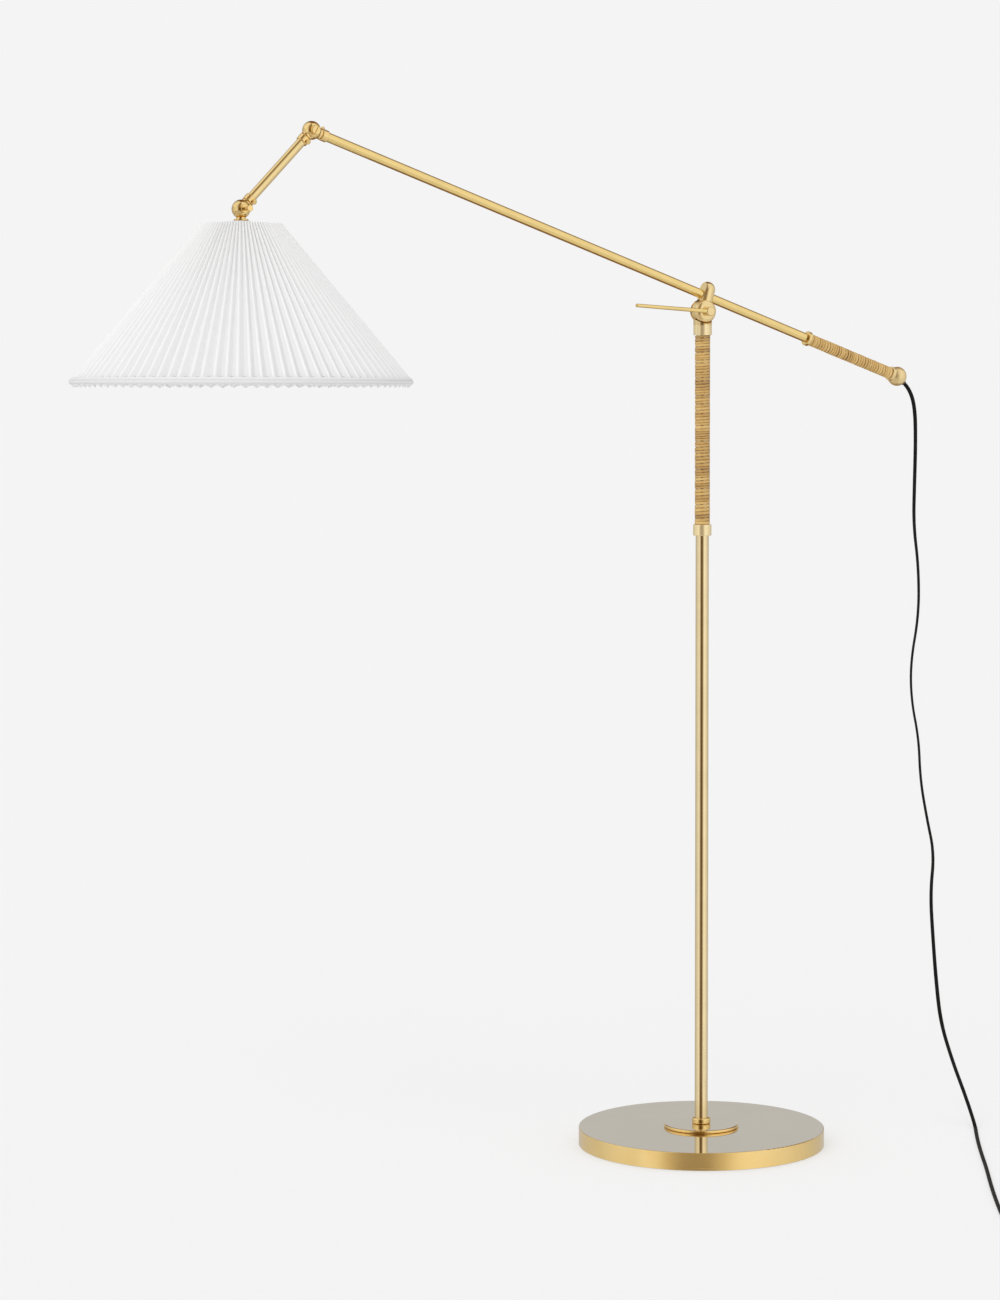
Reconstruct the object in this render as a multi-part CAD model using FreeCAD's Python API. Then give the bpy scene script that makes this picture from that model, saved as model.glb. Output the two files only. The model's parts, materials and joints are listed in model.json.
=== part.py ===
import FreeCAD, Part

# Arc floor lamp: a weighted round foot and a pole, a clamp knuckle that tilts a long
# counterbalanced arm, a short arm between two ball knuckles, and a pleated shade.
# Millimetres. The origin is the centre of the foot on the floor, +Z is up, and the
# arm lies in the XZ plane with the shade on the -X side. The front is -Y.

import math
import os

Vec = FreeCAD.Vector

# ---------------------------------------------------------------- driving dimensions
# Foot
FOOT_RADIUS = 150.0            # spun brass cover, outside
FOOT_HEIGHT = 22.0             # floor to the top of the cover
COVER_WALL = 1.2
COVER_EDGE = 1.0               # rounding of the cover's top edge
COVER_LIFT = 0.8               # the cover's rim stays off the floor
PAD_THICKNESS = 2.0
PAD_INSET = 4.0                # pad edge to cover edge
FLANGE_RADIUS = 46.0
FLANGE_HEIGHT = 4.0
NUT_POCKET_RADIUS = 14.0
NUT_POCKET_DEPTH = 10.0
TIE_RADIUS = 4.0
TIE_WASHER_RADIUS = 13.0
TIE_WASHER_HEIGHT = 1.6
TIE_NUT_HEIGHT = 6.5
TIE_NUT_RADIUS = 7.5           # across the corners
TIE_END = 1.0                  # tie rod past its nut

# Pole
POLE_RADIUS = 8.0
POLE_WALL = 1.5
POLE_LENGTH = 978.0            # from the top of the foot
POLE_PLUG_LENGTH = 26.0
FOOT_COLLAR_WALL = 3.45
FOOT_COLLAR_HEIGHT = 7.6
FOOT_COLLAR_EDGE = 2.4
FERRULE_WALL = 3.1
FERRULE_EDGE = 0.6
LOWER_FERRULE_HEIGHT = 13.4
UPPER_FERRULE_HEIGHT = 12.0
POLE_WRAP_THICKNESS = 1.65
POLE_WRAP_LENGTH = 227.6

# Clamp knuckle
PIVOT_RISE = 16.6              # top of the pole to the arm's tilt axis
NECK_OVERLAP = 4.0             # top of the round neck below the tilt axis
HEAD_BALL_RADIUS = 15.0        # fixed half
CLAMP_DRUM_RADIUS = 14.2       # moving half
HEAD_SPLIT = 0.6               # gap between the halves, filled by a washer
HEAD_SCOOP = 0.8               # moving half to the fixed neck
CLAMP_SCOOP = 0.35             # fixed half to the moving clamp
HEAD_BACK_FLAT = 13.0          # spot face behind the fixed half
CLAMP_FRONT_FLAT = 11.8        # spot face in front of the moving half
PIVOT_BOLT_RADIUS = 3.0
PIVOT_HEAD_RADIUS = 6.0
PIVOT_HEAD_HEIGHT = 3.6
PIVOT_HEAD_DOME = 1.6
PIVOT_WASHER_INSET = 4.0       # washer edge to ball edge
CLAMP_LEAN = 14.0              # degrees, clamp capsule from the vertical
CLAMP_DRUM_EDGE = 6.2          # rounding of the moving half's front
CLAMP_WALL = 3.95              # round the arm tube
CLAMP_HALF_WIDTH = 7.0         # along the arm
CLAMP_CROWN = 17.4             # arm axis to the top of the dome
CLAMP_SCREW_RADIUS = 2.5
CLAMP_SCREW_PROUD = 0.4
LEVER_LENGTH = 103.5
LEVER_ANGLE = -85.6            # degrees from straight up towards +X
LEVER_RADIUS = 2.5
LEVER_TIP_RADIUS = 2.1
LEVER_HUB_RADIUS = 5.6
LEVER_HUB_HEIGHT = 8.0
LEVER_HUB_DOME = 1.4
LEVER_HUB_CROWN = 2.0          # metal over the bolt's end
LEVER_SETBACK = 3.2            # rod's axis behind the hub's front face

# Arm
ARM_SLOPE = 19.9               # degrees below the horizontal, towards the tail
ARM_OFFSET = 18.7              # tilt axis to the arm's axis
ARM_RADIUS = 5.5
ARM_WALL = 1.0
ELBOW_REACH = 559.5            # clamp to elbow centre along the arm
TAIL_REACH = 293.0             # clamp to tail ball centre along the arm
TAIL_RING_LENGTH = 4.5
TAIL_RING_WALL = 3.35
TAIL_WRAP_THICKNESS = 2.2
TAIL_WRAP_LENGTH = 126.8
TAIL_BALL_RADIUS = 11.8
TAIL_LIP_WALL = 3.25
TAIL_LIP_LENGTH = 11.7         # end of the wrap to the ball's centre
TAIL_THREAD_LENGTH = 5.0       # tube inside the ball
CORD_OUTLET_SLOPE = 40.0       # degrees below the horizontal
GROMMET_WALL = 1.2
GROMMET_PROUD = 1.2
GROMMET_DEPTH = 5.5
GROMMET_LIP = 0.8

# Ball knuckles at the elbow and the shade
BALL_RADIUS = 10.75
BALL_SPLIT = 0.3               # gap between the halves
BALL_SCOOP = 0.35              # one half to the other half's neck
BALL_FLAT = 9.1                # spot faces, from the ball's centre
NECK_FLARE = 1.1               # neck over the tube's radius
ARM_NECK_REACH = 11.7          # ball centre to the face of the arm's neck
SHORT_NECK_REACH = 10.1        # the short arm's necks
SHADE_NECK_REACH = 10.6        # the shade's neck
SHADE_NECK_RADIUS = 5.6
SPIGOT_LENGTH = 13.3           # neck face to the end of the spigot
COLLAR_GAP = 0.9               # neck face to collar face
COLLAR_WALL = 1.35
COLLAR_LENGTH = 7.8
COLLAR_EDGE = 0.9
BALL_SCREW_RADIUS = 2.5
ELBOW_HEAD_RADIUS = 5.5
ELBOW_HEAD_HEIGHT = 4.2
ELBOW_HEAD_DOME = 1.0
SLOT_WIDTH = 1.2
SLOT_DEPTH = 1.4
SLOT_TURN = 62.0               # degrees
TILT_BOSS_RADIUS = 4.9
TILT_BOSS_HEIGHT = 3.0
TILT_SHAFT_RADIUS = 2.6
TILT_SHAFT_LENGTH = 9.0
TILT_HEAD_RADIUS = 3.7
TILT_HEAD_LENGTH = 5.2
WIRE_HOLE_RADIUS = 2.9
THUMB_SHAFT_RADIUS = 1.5
ARM_SCREW_TURN = 45.0          # degrees, from the top of the arm to the back
ARM_SCREW_GAP = 1.6            # collar to the screw's head
ARM_HEAD_RADIUS = 2.4
ARM_HEAD_HEIGHT = 5.0
SHORT_SCREW_TURN = 65.0        # degrees, from under the short arm to the front
SHORT_SCREW_GAP = 0.5
SHORT_HEAD_RADIUS = 3.1
SHORT_HEAD_HEIGHT = 2.5
THUMB_WAIST = 0.7              # head's radius less its foot's radius
THUMB_EDGE = 0.8

# Short arm
SHORT_ARM = 125.8              # elbow centre to shade ball centre
SHORT_SLOPE = 45.1             # degrees below the horizontal, away from the pole
SHADE_SWAY = 1.8               # degrees, shade knuckle turned about the short arm
SHADE_NOD = 0.92               # degrees, shade tilted about its pivot

# Shade
SHADE_HEIGHT = 182.2
SHADE_TOP_RADIUS = 45.5
SHADE_BOTTOM_RADIUS = 193.8
SHADE_HEM = 4.6                # rounding of the hem
PLEAT_DEPTH_TOP = 2.6
PLEAT_DEPTH_BOTTOM = 6.2
RING_WIRE_RADIUS = 1.5
TOP_RING_DEPTH = 2.0           # below the shade's upper edge
BOTTOM_RING_HEIGHT = 6.5       # above the shade's lower edge
SPIDER_DROP = 3.1              # hub's middle to the ring
SPIDER_ARMS = 3
SPIDER_ARM_RADIUS = 1.0
SPIDER_ARM_TURN = 30.0         # degrees, first arm from +X
SPIDER_HUB_RADIUS = 10.0
SPIDER_HUB_HEIGHT = 2.0
SHADE_CAP_RADIUS = 8.5
SHADE_CAP_HEIGHT = 2.0
SHADE_CAP_EDGE = 0.8
SHADE_CAP_BOSS = 0.6           # boss that seats on the neck
STEM_RADIUS = 4.8              # threaded stem under the shade ball

# Lampholder and lamp
SOCKET_CAP_HEIGHT = 16.0
SOCKET_THROAT_WALL = 2.2
SOCKET_THROAT_HEIGHT = 4.0
SOCKET_THREAD_LENGTH = 9.0     # stem inside the cap
SOCKET_DOME_RADIUS = 14.0
SOCKET_WALL = 0.8
SOCKET_SHELL_HEIGHT = 38.0
SOCKET_BEAD = 0.9
SOCKET_BEAD_HEIGHT = 3.0
LINER_WALL = 0.9
LINER_ROOM = 1.35              # screw shell to liner
LINER_INSET = 1.0
BLOCK_HEIGHT = 8.0
SCREW_SHELL_WALL = 0.5
SCREW_SHELL_HEIGHT = 22.0
CONTACT_RADIUS = 3.2
CONTACT_HEIGHT = 1.5
CONTACT_DOME = 0.6
KNOB_TURN = -35.0              # degrees, knob's direction from +X
KNOB_RADIUS = 5.5
KNOB_LENGTH = 11.0
KNOB_STEM_RADIUS = 1.6
KNOB_STEM_GAP = 4.0            # socket shell to the knob
KNOB_STEM_START = 6.0          # stem's end from the lamp's axis
KNOB_EDGE = 1.2
KNOB_FLUTES = 8
KNOB_FLUTE_RADIUS = 1.2
KNOB_FLUTE_DEPTH = 0.7
KNOB_SKIRT = 2.0
LAMP_CAP_RADIUS = 13.1
LAMP_CAP_HEIGHT = 24.0
LAMP_CAP_WALL = 0.4
LAMP_BUTTON_RADIUS = 4.0
LAMP_BUTTON_HEIGHT = 1.5
LAMP_INSULATOR_HEIGHT = 5.0
LAMP_LENGTH = 106.0            # contact to the crown of the glass
LAMP_BULB_RADIUS = 30.0
LAMP_SHOULDER_RADIUS = 30.0
LAMP_GLASS_WALL = 0.9
LAMP_GLASS_SEAT = 6.0          # glass inside the cap

# Wiring
WIRE_RADIUS = 2.3
CORD_RADIUS = 2.4              # flat twin cord, half its width
COIL_CENTRE = Vec(128.0, -560.0, 0.0)
COIL_RADIUS = 27.0             # middle of the turns
COIL_BUILD = 14.4              # radial width of the wound turns
COIL_LIFT = 0.05
COIL_HEIGHT = 9.6
COIL_EDGE = 2.2
PLUG_LENGTH = 34.0
PLUG_WIDTH = 24.0
PLUG_HEIGHT = 16.0
PLUG_NOSE_WALL = 2.0
PLUG_TAPER_START = 8.0
PLUG_TAPER_END = 20.0
PLUG_CORNER = 2.0
BLADE_LENGTH = 16.0
BLADE_SEAT = 8.0
BLADE_WIDTH = 6.4
BLADE_THICKNESS = 1.5
BLADE_SPACING = 12.7
BLADE_TIP = 1.6

# Clearances
RUNNING_FIT = 0.05             # radial, pins and spigots that turn
SEAT_FIT = 0.05                # radial, parts pushed over a tube
SOFT_GAP = 0.3                 # rigid part to cloth, wall or wire
WASHER_PLAY = 0.05
HUGE = 6000.0


# ---------------------------------------------------------------- frames and helpers
def direction(angle):
    """Unit vector in the XZ plane, measured from +Z towards +X in degrees."""
    return Vec(math.sin(math.radians(angle)), 0, math.cos(math.radians(angle)))


def axis_frame(origin, angle):
    """Frame whose +Z runs along direction(angle) and whose +Y is the lamp's +Y."""
    return FreeCAD.Placement(origin, FreeCAD.Rotation(Vec(0, 1, 0), angle))


def front_frame(origin):
    """Frame whose +Z points to the front, -Y, as the knuckle screws do."""
    return FreeCAD.Placement(origin, FreeCAD.Rotation(Vec(1, 0, 0), 90))


def back_frame(origin):
    """Frame whose +Z points to the back, +Y."""
    return FreeCAD.Placement(origin, FreeCAD.Rotation(Vec(1, 0, 0), -90))


def placed(shape, frame):
    moved = shape.copy()
    moved.Placement = frame.multiply(moved.Placement)
    return moved


def bend_between(start, end, radius):
    """Middle of the arc from start to end in the XZ plane. A positive radius turns
    left on the way, seen from -Y, and so bulges to the right."""
    chord = end - start
    half = chord.Length / 2
    sagitta = abs(radius) - math.sqrt(max(radius ** 2 - half ** 2, 0))
    right = Vec(chord.z, 0, -chord.x).normalize()
    return (start + end) * 0.5 + right * math.copysign(sagitta, radius)


def turned(*outline):
    """Solid of revolution about +Z. Each corner is (radius, height), or
    (radius, height, bend) where an arc of that radius leads to it."""
    corners = [Vec(entry[0], 0, entry[1]) for entry in outline]
    edges = []
    for index, entry in enumerate(outline):
        start = corners[index - 1]
        end = corners[index]
        if len(entry) == 3:
            edges.append(Part.Arc(start, bend_between(start, end, entry[2]), end).toShape())
        else:
            edges.append(Part.LineSegment(start, end).toShape())
    return Part.Face(Part.Wire(edges)).revolve(Vec(0, 0, 0), Vec(0, 0, 1), 360)


def sleeve(outer, inner, low, high):
    return turned((inner, low), (outer, low), (outer, high), (inner, high))


def beaded_ring(outer, inner, low, high, edge):
    """Ring with both outside edges rounded."""
    return turned((inner, low), (outer - edge, low), (outer, low + edge, edge),
                  (outer, high - edge), (outer - edge, high, edge), (inner, high))


def rod(radius, low, high):
    return Part.makeCylinder(radius, high - low, Vec(0, 0, low))


def domed_pin(radius, low, high, dome):
    """Round pin whose far edge is rounded."""
    return turned((0, low), (radius, low), (radius, high - dome), (radius - dome, high, dome),
                  (0, high))


def bar_between(radius, start, end):
    return Part.makeCylinder(radius, (end - start).Length, start, end - start)


def slab_y(low, high):
    """Everything between two planes across Y."""
    return Part.makeBox(HUGE, high - low, HUGE, Vec(-HUGE / 2, low, -HUGE / 2))


def slab_z(low, high):
    return Part.makeBox(HUGE, HUGE, high - low, Vec(-HUGE / 2, -HUGE / 2, low))


def hexagon(corner_radius, low, high):
    corners = [Vec(corner_radius * math.cos(math.radians(60 * index)),
                   corner_radius * math.sin(math.radians(60 * index)), low) for index in range(7)]
    return Part.Face(Part.makePolygon(corners)).extrude(Vec(0, 0, high - low))


# ---------------------------------------------------------------- places
FLANGE_TOP = FOOT_HEIGHT + FLANGE_HEIGHT
POLE_TOP = FOOT_HEIGHT + POLE_LENGTH
POLE_BORE = POLE_RADIUS - POLE_WALL
POLE_SEAT = POLE_RADIUS + SEAT_FIT
TIE_BORE = TIE_RADIUS + SEAT_FIT
TIE_SHELF = PAD_THICKNESS + NUT_POCKET_DEPTH   # the weight's face that the tie rod pulls on
FERRULE_RADIUS = POLE_SEAT + FERRULE_WALL
UPPER_FERRULE_PLACE = POLE_TOP - UPPER_FERRULE_HEIGHT
POLE_WRAP_PLACE = UPPER_FERRULE_PLACE - POLE_WRAP_LENGTH

PIVOT = Vec(0, 0, POLE_TOP + PIVOT_RISE)
TAILWARD = 90 + ARM_SLOPE                      # angle of the arm towards the tail
ARM_FOOT = PIVOT + direction(TAILWARD - 90) * ARM_OFFSET
ARM = axis_frame(ARM_FOOT, TAILWARD)           # +Z towards the tail, -Z to the elbow
ARM_SEAT = ARM_RADIUS + SEAT_FIT
ARM_BORE = ARM_RADIUS - ARM_WALL
CLAMP_CROSSING = ARM_OFFSET / math.cos(math.radians(TAILWARD - 90 - CLAMP_LEAN))
CLAMP_CENTRE = PIVOT + direction(CLAMP_LEAN) * CLAMP_CROSSING
LEVER_PLACE = PIVOT + Vec(0, LEVER_SETBACK - CLAMP_FRONT_FLAT - WASHER_PLAY - LEVER_HUB_HEIGHT, 0)
LEVER = axis_frame(LEVER_PLACE, LEVER_ANGLE)   # +Z along the rod

TAIL_CENTRE = ARM_FOOT + direction(TAILWARD) * TAIL_REACH
TAIL_WRAP_END = TAIL_REACH - TAIL_LIP_LENGTH
TAIL_WRAP_START = TAIL_WRAP_END - TAIL_WRAP_LENGTH
TUBE_TAIL_END = TAIL_WRAP_END + TAIL_THREAD_LENGTH
OUTLET = axis_frame(TAIL_CENTRE, 90 + CORD_OUTLET_SLOPE)   # +Z out along the cord
GROMMET_RADIUS = CORD_RADIUS + GROMMET_WALL
GROMMET_FACE = TAIL_BALL_RADIUS + GROMMET_PROUD

ELBOW = ARM_FOOT - direction(TAILWARD) * ELBOW_REACH
SHORTWARD = -90 - SHORT_SLOPE                  # angle of the short arm towards the shade
ARM_KNUCKLE = axis_frame(ELBOW, TAILWARD)      # +Z towards the tail
SHORT = axis_frame(ELBOW, SHORTWARD)
SHADE_BALL = ELBOW + direction(SHORTWARD) * SHORT_ARM
SWAY = FreeCAD.Rotation(direction(SHORTWARD), SHADE_SWAY)
NOD = FreeCAD.Rotation(Vec(0, 1, 0), SHADE_NOD)
SHADE_FIXED = FreeCAD.Placement(SHADE_BALL, SWAY)
SHADE_SWUNG = FreeCAD.Placement(SHADE_BALL, SWAY.multiply(NOD))
HANGER = SHADE_SWUNG.multiply(axis_frame(Vec(0, 0, 0), 180))   # +Z down the shade's axis
ARM_TUBE_START = ARM_NECK_REACH + COLLAR_GAP   # ball centre to the tube's end face
SHORT_TUBE_START = SHORT_NECK_REACH + COLLAR_GAP
COLLAR_RADIUS = ARM_SEAT + COLLAR_WALL
NECK_RADIUS = ARM_RADIUS + NECK_FLARE
SPIGOT_RADIUS = ARM_BORE - RUNNING_FIT

# Under the shade ball, measured down from its centre.
STEM_BORE = STEM_RADIUS + SEAT_FIT
SHADE_CAP_PLACE = SHADE_NECK_REACH + SHADE_CAP_BOSS
SPIDER_PLACE = SHADE_CAP_PLACE + SHADE_CAP_HEIGHT
SOCKET_PLACE = SPIDER_PLACE + SPIDER_HUB_HEIGHT
TOP_RING_PLACE = SPIDER_PLACE + SPIDER_HUB_HEIGHT / 2 + SPIDER_DROP
SHADE_PLACE = TOP_RING_PLACE - TOP_RING_DEPTH
STEM_END = SOCKET_PLACE + SOCKET_THREAD_LENGTH
SHELL_PLACE = SOCKET_PLACE + SOCKET_CAP_HEIGHT
BLOCK_PLACE = SHELL_PLACE + LINER_INSET
CONTACT_PLACE = BLOCK_PLACE + BLOCK_HEIGHT
LAMP_PLACE = CONTACT_PLACE + CONTACT_HEIGHT + WASHER_PLAY
SCREW_SHELL_RADIUS = LAMP_CAP_RADIUS + SOFT_GAP + SCREW_SHELL_WALL
LINER_RADIUS = SCREW_SHELL_RADIUS + LINER_ROOM + LINER_WALL
SOCKET_RADIUS = LINER_RADIUS + SEAT_FIT + SOCKET_WALL
KNOB_PLACE = Vec(0, 0, -BLOCK_PLACE - BLOCK_HEIGHT / 2)
KNOB_ROTATION = FreeCAD.Rotation(Vec(0, 0, 1), KNOB_TURN).multiply(
    FreeCAD.Rotation(Vec(0, 1, 0), 90))
KNOB = SHADE_SWUNG.multiply(FreeCAD.Placement(KNOB_PLACE, KNOB_ROTATION))   # +Z out of the side


# ---------------------------------------------------------------- foot and pole
def foot_cover():
    """Spun brass cover: flat top, rounded edge and a straight skirt, open below."""
    inner = FOOT_RADIUS - COVER_WALL
    bore = TIE_RADIUS + SOFT_GAP
    under = FOOT_HEIGHT - COVER_WALL
    return turned((bore, under), (inner, under), (inner, COVER_LIFT), (FOOT_RADIUS, COVER_LIFT),
                  (FOOT_RADIUS, FOOT_HEIGHT - COVER_EDGE),
                  (FOOT_RADIUS - COVER_EDGE, FOOT_HEIGHT, COVER_EDGE), (bore, FOOT_HEIGHT))


def foot_weight():
    """Cast disc that fills the cover, with a pocket below for the tie rod's nut."""
    outer = FOOT_RADIUS - COVER_WALL - SOFT_GAP
    return turned((TIE_RADIUS + SOFT_GAP, TIE_SHELF), (NUT_POCKET_RADIUS, TIE_SHELF),
                  (NUT_POCKET_RADIUS, PAD_THICKNESS), (outer, PAD_THICKNESS),
                  (outer, FOOT_HEIGHT - COVER_WALL),
                  (TIE_RADIUS + SOFT_GAP, FOOT_HEIGHT - COVER_WALL))


def foot_flange():
    """Flat disc under the pole whose rim is a full half round."""
    half = FLANGE_HEIGHT / 2
    return turned((POLE_SEAT, FOOT_HEIGHT), (FLANGE_RADIUS - half, FOOT_HEIGHT),
                  (FLANGE_RADIUS - half, FLANGE_TOP, half), (POLE_SEAT, FLANGE_TOP))


def tie_nut_and_washer():
    washer_low = TIE_SHELF - TIE_WASHER_HEIGHT
    washer = sleeve(TIE_WASHER_RADIUS, TIE_BORE, washer_low, TIE_SHELF)
    nut = hexagon(TIE_NUT_RADIUS, washer_low - TIE_NUT_HEIGHT, washer_low)
    return Part.makeCompound([washer, nut.cut(rod(TIE_BORE, 0, TIE_SHELF))])


def foot_parts():
    tie_low = TIE_SHELF - TIE_WASHER_HEIGHT - TIE_NUT_HEIGHT - TIE_END
    return {
        "foot_pad": rod(FOOT_RADIUS - PAD_INSET, 0, PAD_THICKNESS),
        "foot_weight": foot_weight(),
        "foot_cover": foot_cover(),
        "foot_flange": foot_flange(),
        "foot_collar": beaded_ring(POLE_SEAT + FOOT_COLLAR_WALL, POLE_SEAT, FLANGE_TOP,
                                   FLANGE_TOP + FOOT_COLLAR_HEIGHT, FOOT_COLLAR_EDGE),
        "tie_rod": rod(TIE_RADIUS, tie_low, FOOT_HEIGHT + POLE_PLUG_LENGTH),
        "tie_nut_and_washer": tie_nut_and_washer(),
    }


def pole_parts():
    plug_outer = POLE_BORE - SEAT_FIT
    return {
        "pole_tube": sleeve(POLE_RADIUS, POLE_BORE, FOOT_HEIGHT, POLE_TOP),
        "pole_foot_plug": sleeve(plug_outer, TIE_BORE, FOOT_HEIGHT, FOOT_HEIGHT + POLE_PLUG_LENGTH),
        "pole_top_plug": sleeve(plug_outer, TIE_BORE, POLE_TOP - POLE_PLUG_LENGTH, POLE_TOP),
        "lower_ferrule": beaded_ring(FERRULE_RADIUS, POLE_SEAT, POLE_WRAP_PLACE - LOWER_FERRULE_HEIGHT,
                                     POLE_WRAP_PLACE, FERRULE_EDGE),
        "pole_wrap": sleeve(POLE_SEAT + POLE_WRAP_THICKNESS, POLE_SEAT, POLE_WRAP_PLACE,
                            UPPER_FERRULE_PLACE),
        "upper_ferrule": turned((POLE_SEAT, UPPER_FERRULE_PLACE),
                                (FERRULE_RADIUS - FERRULE_EDGE, UPPER_FERRULE_PLACE),
                                (FERRULE_RADIUS, UPPER_FERRULE_PLACE + FERRULE_EDGE, FERRULE_EDGE),
                                (FERRULE_RADIUS, POLE_TOP), (POLE_SEAT, POLE_TOP)),
    }


# ---------------------------------------------------------------- clamp knuckle
def knuckle_fixed_half():
    """Back half of the clamp knuckle, a half ball on a round neck. The neck is scooped
    out where the moving half turns, and a step behind the joint face lets the arm tube
    swing past."""
    back = Part.makeSphere(HEAD_BALL_RADIUS).common(slab_y(HEAD_SPLIT / 2, HEAD_BACK_FLAT))
    step_depth = ARM_RADIUS + SOFT_GAP
    step_radius = ARM_OFFSET - ARM_RADIUS - SOFT_GAP
    step = rod(HUGE / 2, -1, step_depth).cut(rod(step_radius, -2, step_depth + 1))
    back = back.cut(placed(step, back_frame(Vec(0, 0, 0))))
    neck = rod(FERRULE_RADIUS, -PIVOT_RISE, -NECK_OVERLAP)
    swept = placed(rod(CLAMP_DRUM_RADIUS + HEAD_SCOOP, -HEAD_SPLIT / 2, FERRULE_RADIUS + HEAD_SCOOP),
                   front_frame(Vec(0, 0, 0)))
    neck = neck.cut(swept)
    spigot = rod(TIE_RADIUS, -PIVOT_RISE - POLE_PLUG_LENGTH, -PIVOT_RISE)
    half = back.fuse(neck).fuse(spigot).removeSplitter()
    bolt_hole = rod(PIVOT_BOLT_RADIUS + SEAT_FIT, 0, HUGE / 2)
    return placed(half.cut(placed(bolt_hole, back_frame(Vec(0, 0, 0)))), axis_frame(PIVOT, 0))


def clamp_head():
    """Front half of the clamp knuckle: a drum with a rounded front, in one piece with the
    domed capsule that grips the arm. The capsule is cut square to the arm and scooped
    round the fixed half."""
    radius = ARM_SEAT + CLAMP_WALL
    straight = CLAMP_CROSSING + CLAMP_CROWN - radius
    capsule = rod(radius, 0, straight).fuse(Part.makeSphere(radius, Vec(0, 0, straight)))
    capsule = placed(capsule, axis_frame(PIVOT, CLAMP_LEAN))
    width = slab_z(-CLAMP_HALF_WIDTH, CLAMP_HALF_WIDTH)
    capsule = capsule.common(placed(width, axis_frame(CLAMP_CENTRE, TAILWARD)))
    behind = Part.makeSphere(HEAD_BALL_RADIUS + CLAMP_SCOOP).common(slab_y(-HEAD_SPLIT / 2, HUGE / 2))
    capsule = capsule.cut(placed(behind, axis_frame(PIVOT, 0)))
    drum = domed_pin(CLAMP_DRUM_RADIUS, HEAD_SPLIT / 2, CLAMP_FRONT_FLAT, CLAMP_DRUM_EDGE)
    head = capsule.fuse(placed(drum, front_frame(PIVOT))).removeSplitter()
    arm_hole = placed(rod(ARM_SEAT, -HUGE / 4, HUGE / 4), ARM)
    bolt_hole = placed(rod(PIVOT_BOLT_RADIUS + RUNNING_FIT, 0, HUGE / 4), front_frame(PIVOT))
    screw_hole = placed(rod(CLAMP_SCREW_RADIUS + SEAT_FIT, 0, HUGE / 4), back_frame(CLAMP_CENTRE))
    return head.cut(arm_hole).cut(bolt_hole).cut(screw_hole)


def clamp_screw():
    """Slotted grub screw behind the capsule that holds the arm tube."""
    end = ARM_SEAT + CLAMP_WALL + CLAMP_SCREW_PROUD
    body = rod(CLAMP_SCREW_RADIUS, ARM_SEAT, end)
    return placed(slotted(body, CLAMP_SCREW_RADIUS, end, SLOT_WIDTH, SLOT_DEPTH),
                  back_frame(CLAMP_CENTRE))


def slotted(body, radius, end, width, depth):
    """A screwdriver slot across the end of a round body along +Z."""
    slot = Part.makeBox(4 * radius, width, 2 * depth, Vec(-2 * radius, -width / 2, end - depth))
    return body.cut(placed(slot, FreeCAD.Placement(Vec(0, 0, 0),
                                                   FreeCAD.Rotation(Vec(0, 0, 1), SLOT_TURN))))


def pivot_bolt():
    """Domed head behind, shank through both halves, end inside the lever's hub."""
    head = domed_pin(PIVOT_HEAD_RADIUS, HEAD_BACK_FLAT, HEAD_BACK_FLAT + PIVOT_HEAD_HEIGHT,
                     PIVOT_HEAD_DOME)
    hub_face = CLAMP_FRONT_FLAT + WASHER_PLAY + LEVER_HUB_HEIGHT
    shank = rod(PIVOT_BOLT_RADIUS, LEVER_HUB_CROWN + SOFT_GAP - hub_face, HEAD_BACK_FLAT)
    return placed(head.fuse(shank), back_frame(PIVOT))


def lever_hub():
    low = CLAMP_FRONT_FLAT + WASHER_PLAY
    high = low + LEVER_HUB_HEIGHT
    hub = domed_pin(LEVER_HUB_RADIUS, low, high, LEVER_HUB_DOME)
    hub = hub.cut(rod(PIVOT_BOLT_RADIUS + RUNNING_FIT, 0, high - LEVER_HUB_CROWN))
    socket = rod(LEVER_RADIUS + SEAT_FIT, PIVOT_BOLT_RADIUS + SOFT_GAP, HUGE / 4)
    return placed(hub, front_frame(PIVOT)).cut(placed(socket, LEVER))


def lever_rod():
    """Slim rod that tapers to a round tip."""
    near = PIVOT_BOLT_RADIUS + SOFT_GAP
    tip = LEVER_LENGTH - LEVER_TIP_RADIUS
    bar = turned((0, near), (LEVER_RADIUS, near), (LEVER_TIP_RADIUS, tip),
                 (0, LEVER_LENGTH, LEVER_TIP_RADIUS))
    return placed(bar, LEVER)


def clamp_parts():
    washer = HEAD_SPLIT / 2 - WASHER_PLAY
    return {
        "knuckle_fixed_half": knuckle_fixed_half(),
        "pivot_bolt": pivot_bolt(),
        "pivot_washer": placed(sleeve(CLAMP_DRUM_RADIUS - PIVOT_WASHER_INSET,
                                      PIVOT_BOLT_RADIUS + SEAT_FIT, -washer, washer),
                               front_frame(PIVOT)),
        "clamp_head": clamp_head(),
        "clamp_screw": clamp_screw(),
        "lever_hub": lever_hub(),
        "lever_rod": lever_rod(),
    }


# ---------------------------------------------------------------- arm
def tail_ball():
    """Ball end cap: a lipped neck screws on the tube, and the cord leaves low behind it."""
    solid = Part.makeSphere(TAIL_BALL_RADIUS, Vec(0, 0, TAIL_REACH))
    lip = beaded_ring(ARM_SEAT + TAIL_LIP_WALL, ARM_SEAT, TAIL_WRAP_END, TAIL_REACH, FERRULE_EDGE)
    solid = solid.fuse(lip).removeSplitter()
    solid = solid.cut(rod(ARM_SEAT, 0, TUBE_TAIL_END)).cut(rod(WIRE_HOLE_RADIUS, 0, TAIL_REACH))
    return placed(solid, ARM).cut(placed(rod(GROMMET_RADIUS + SEAT_FIT, 0, HUGE / 4), OUTLET))


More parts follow.
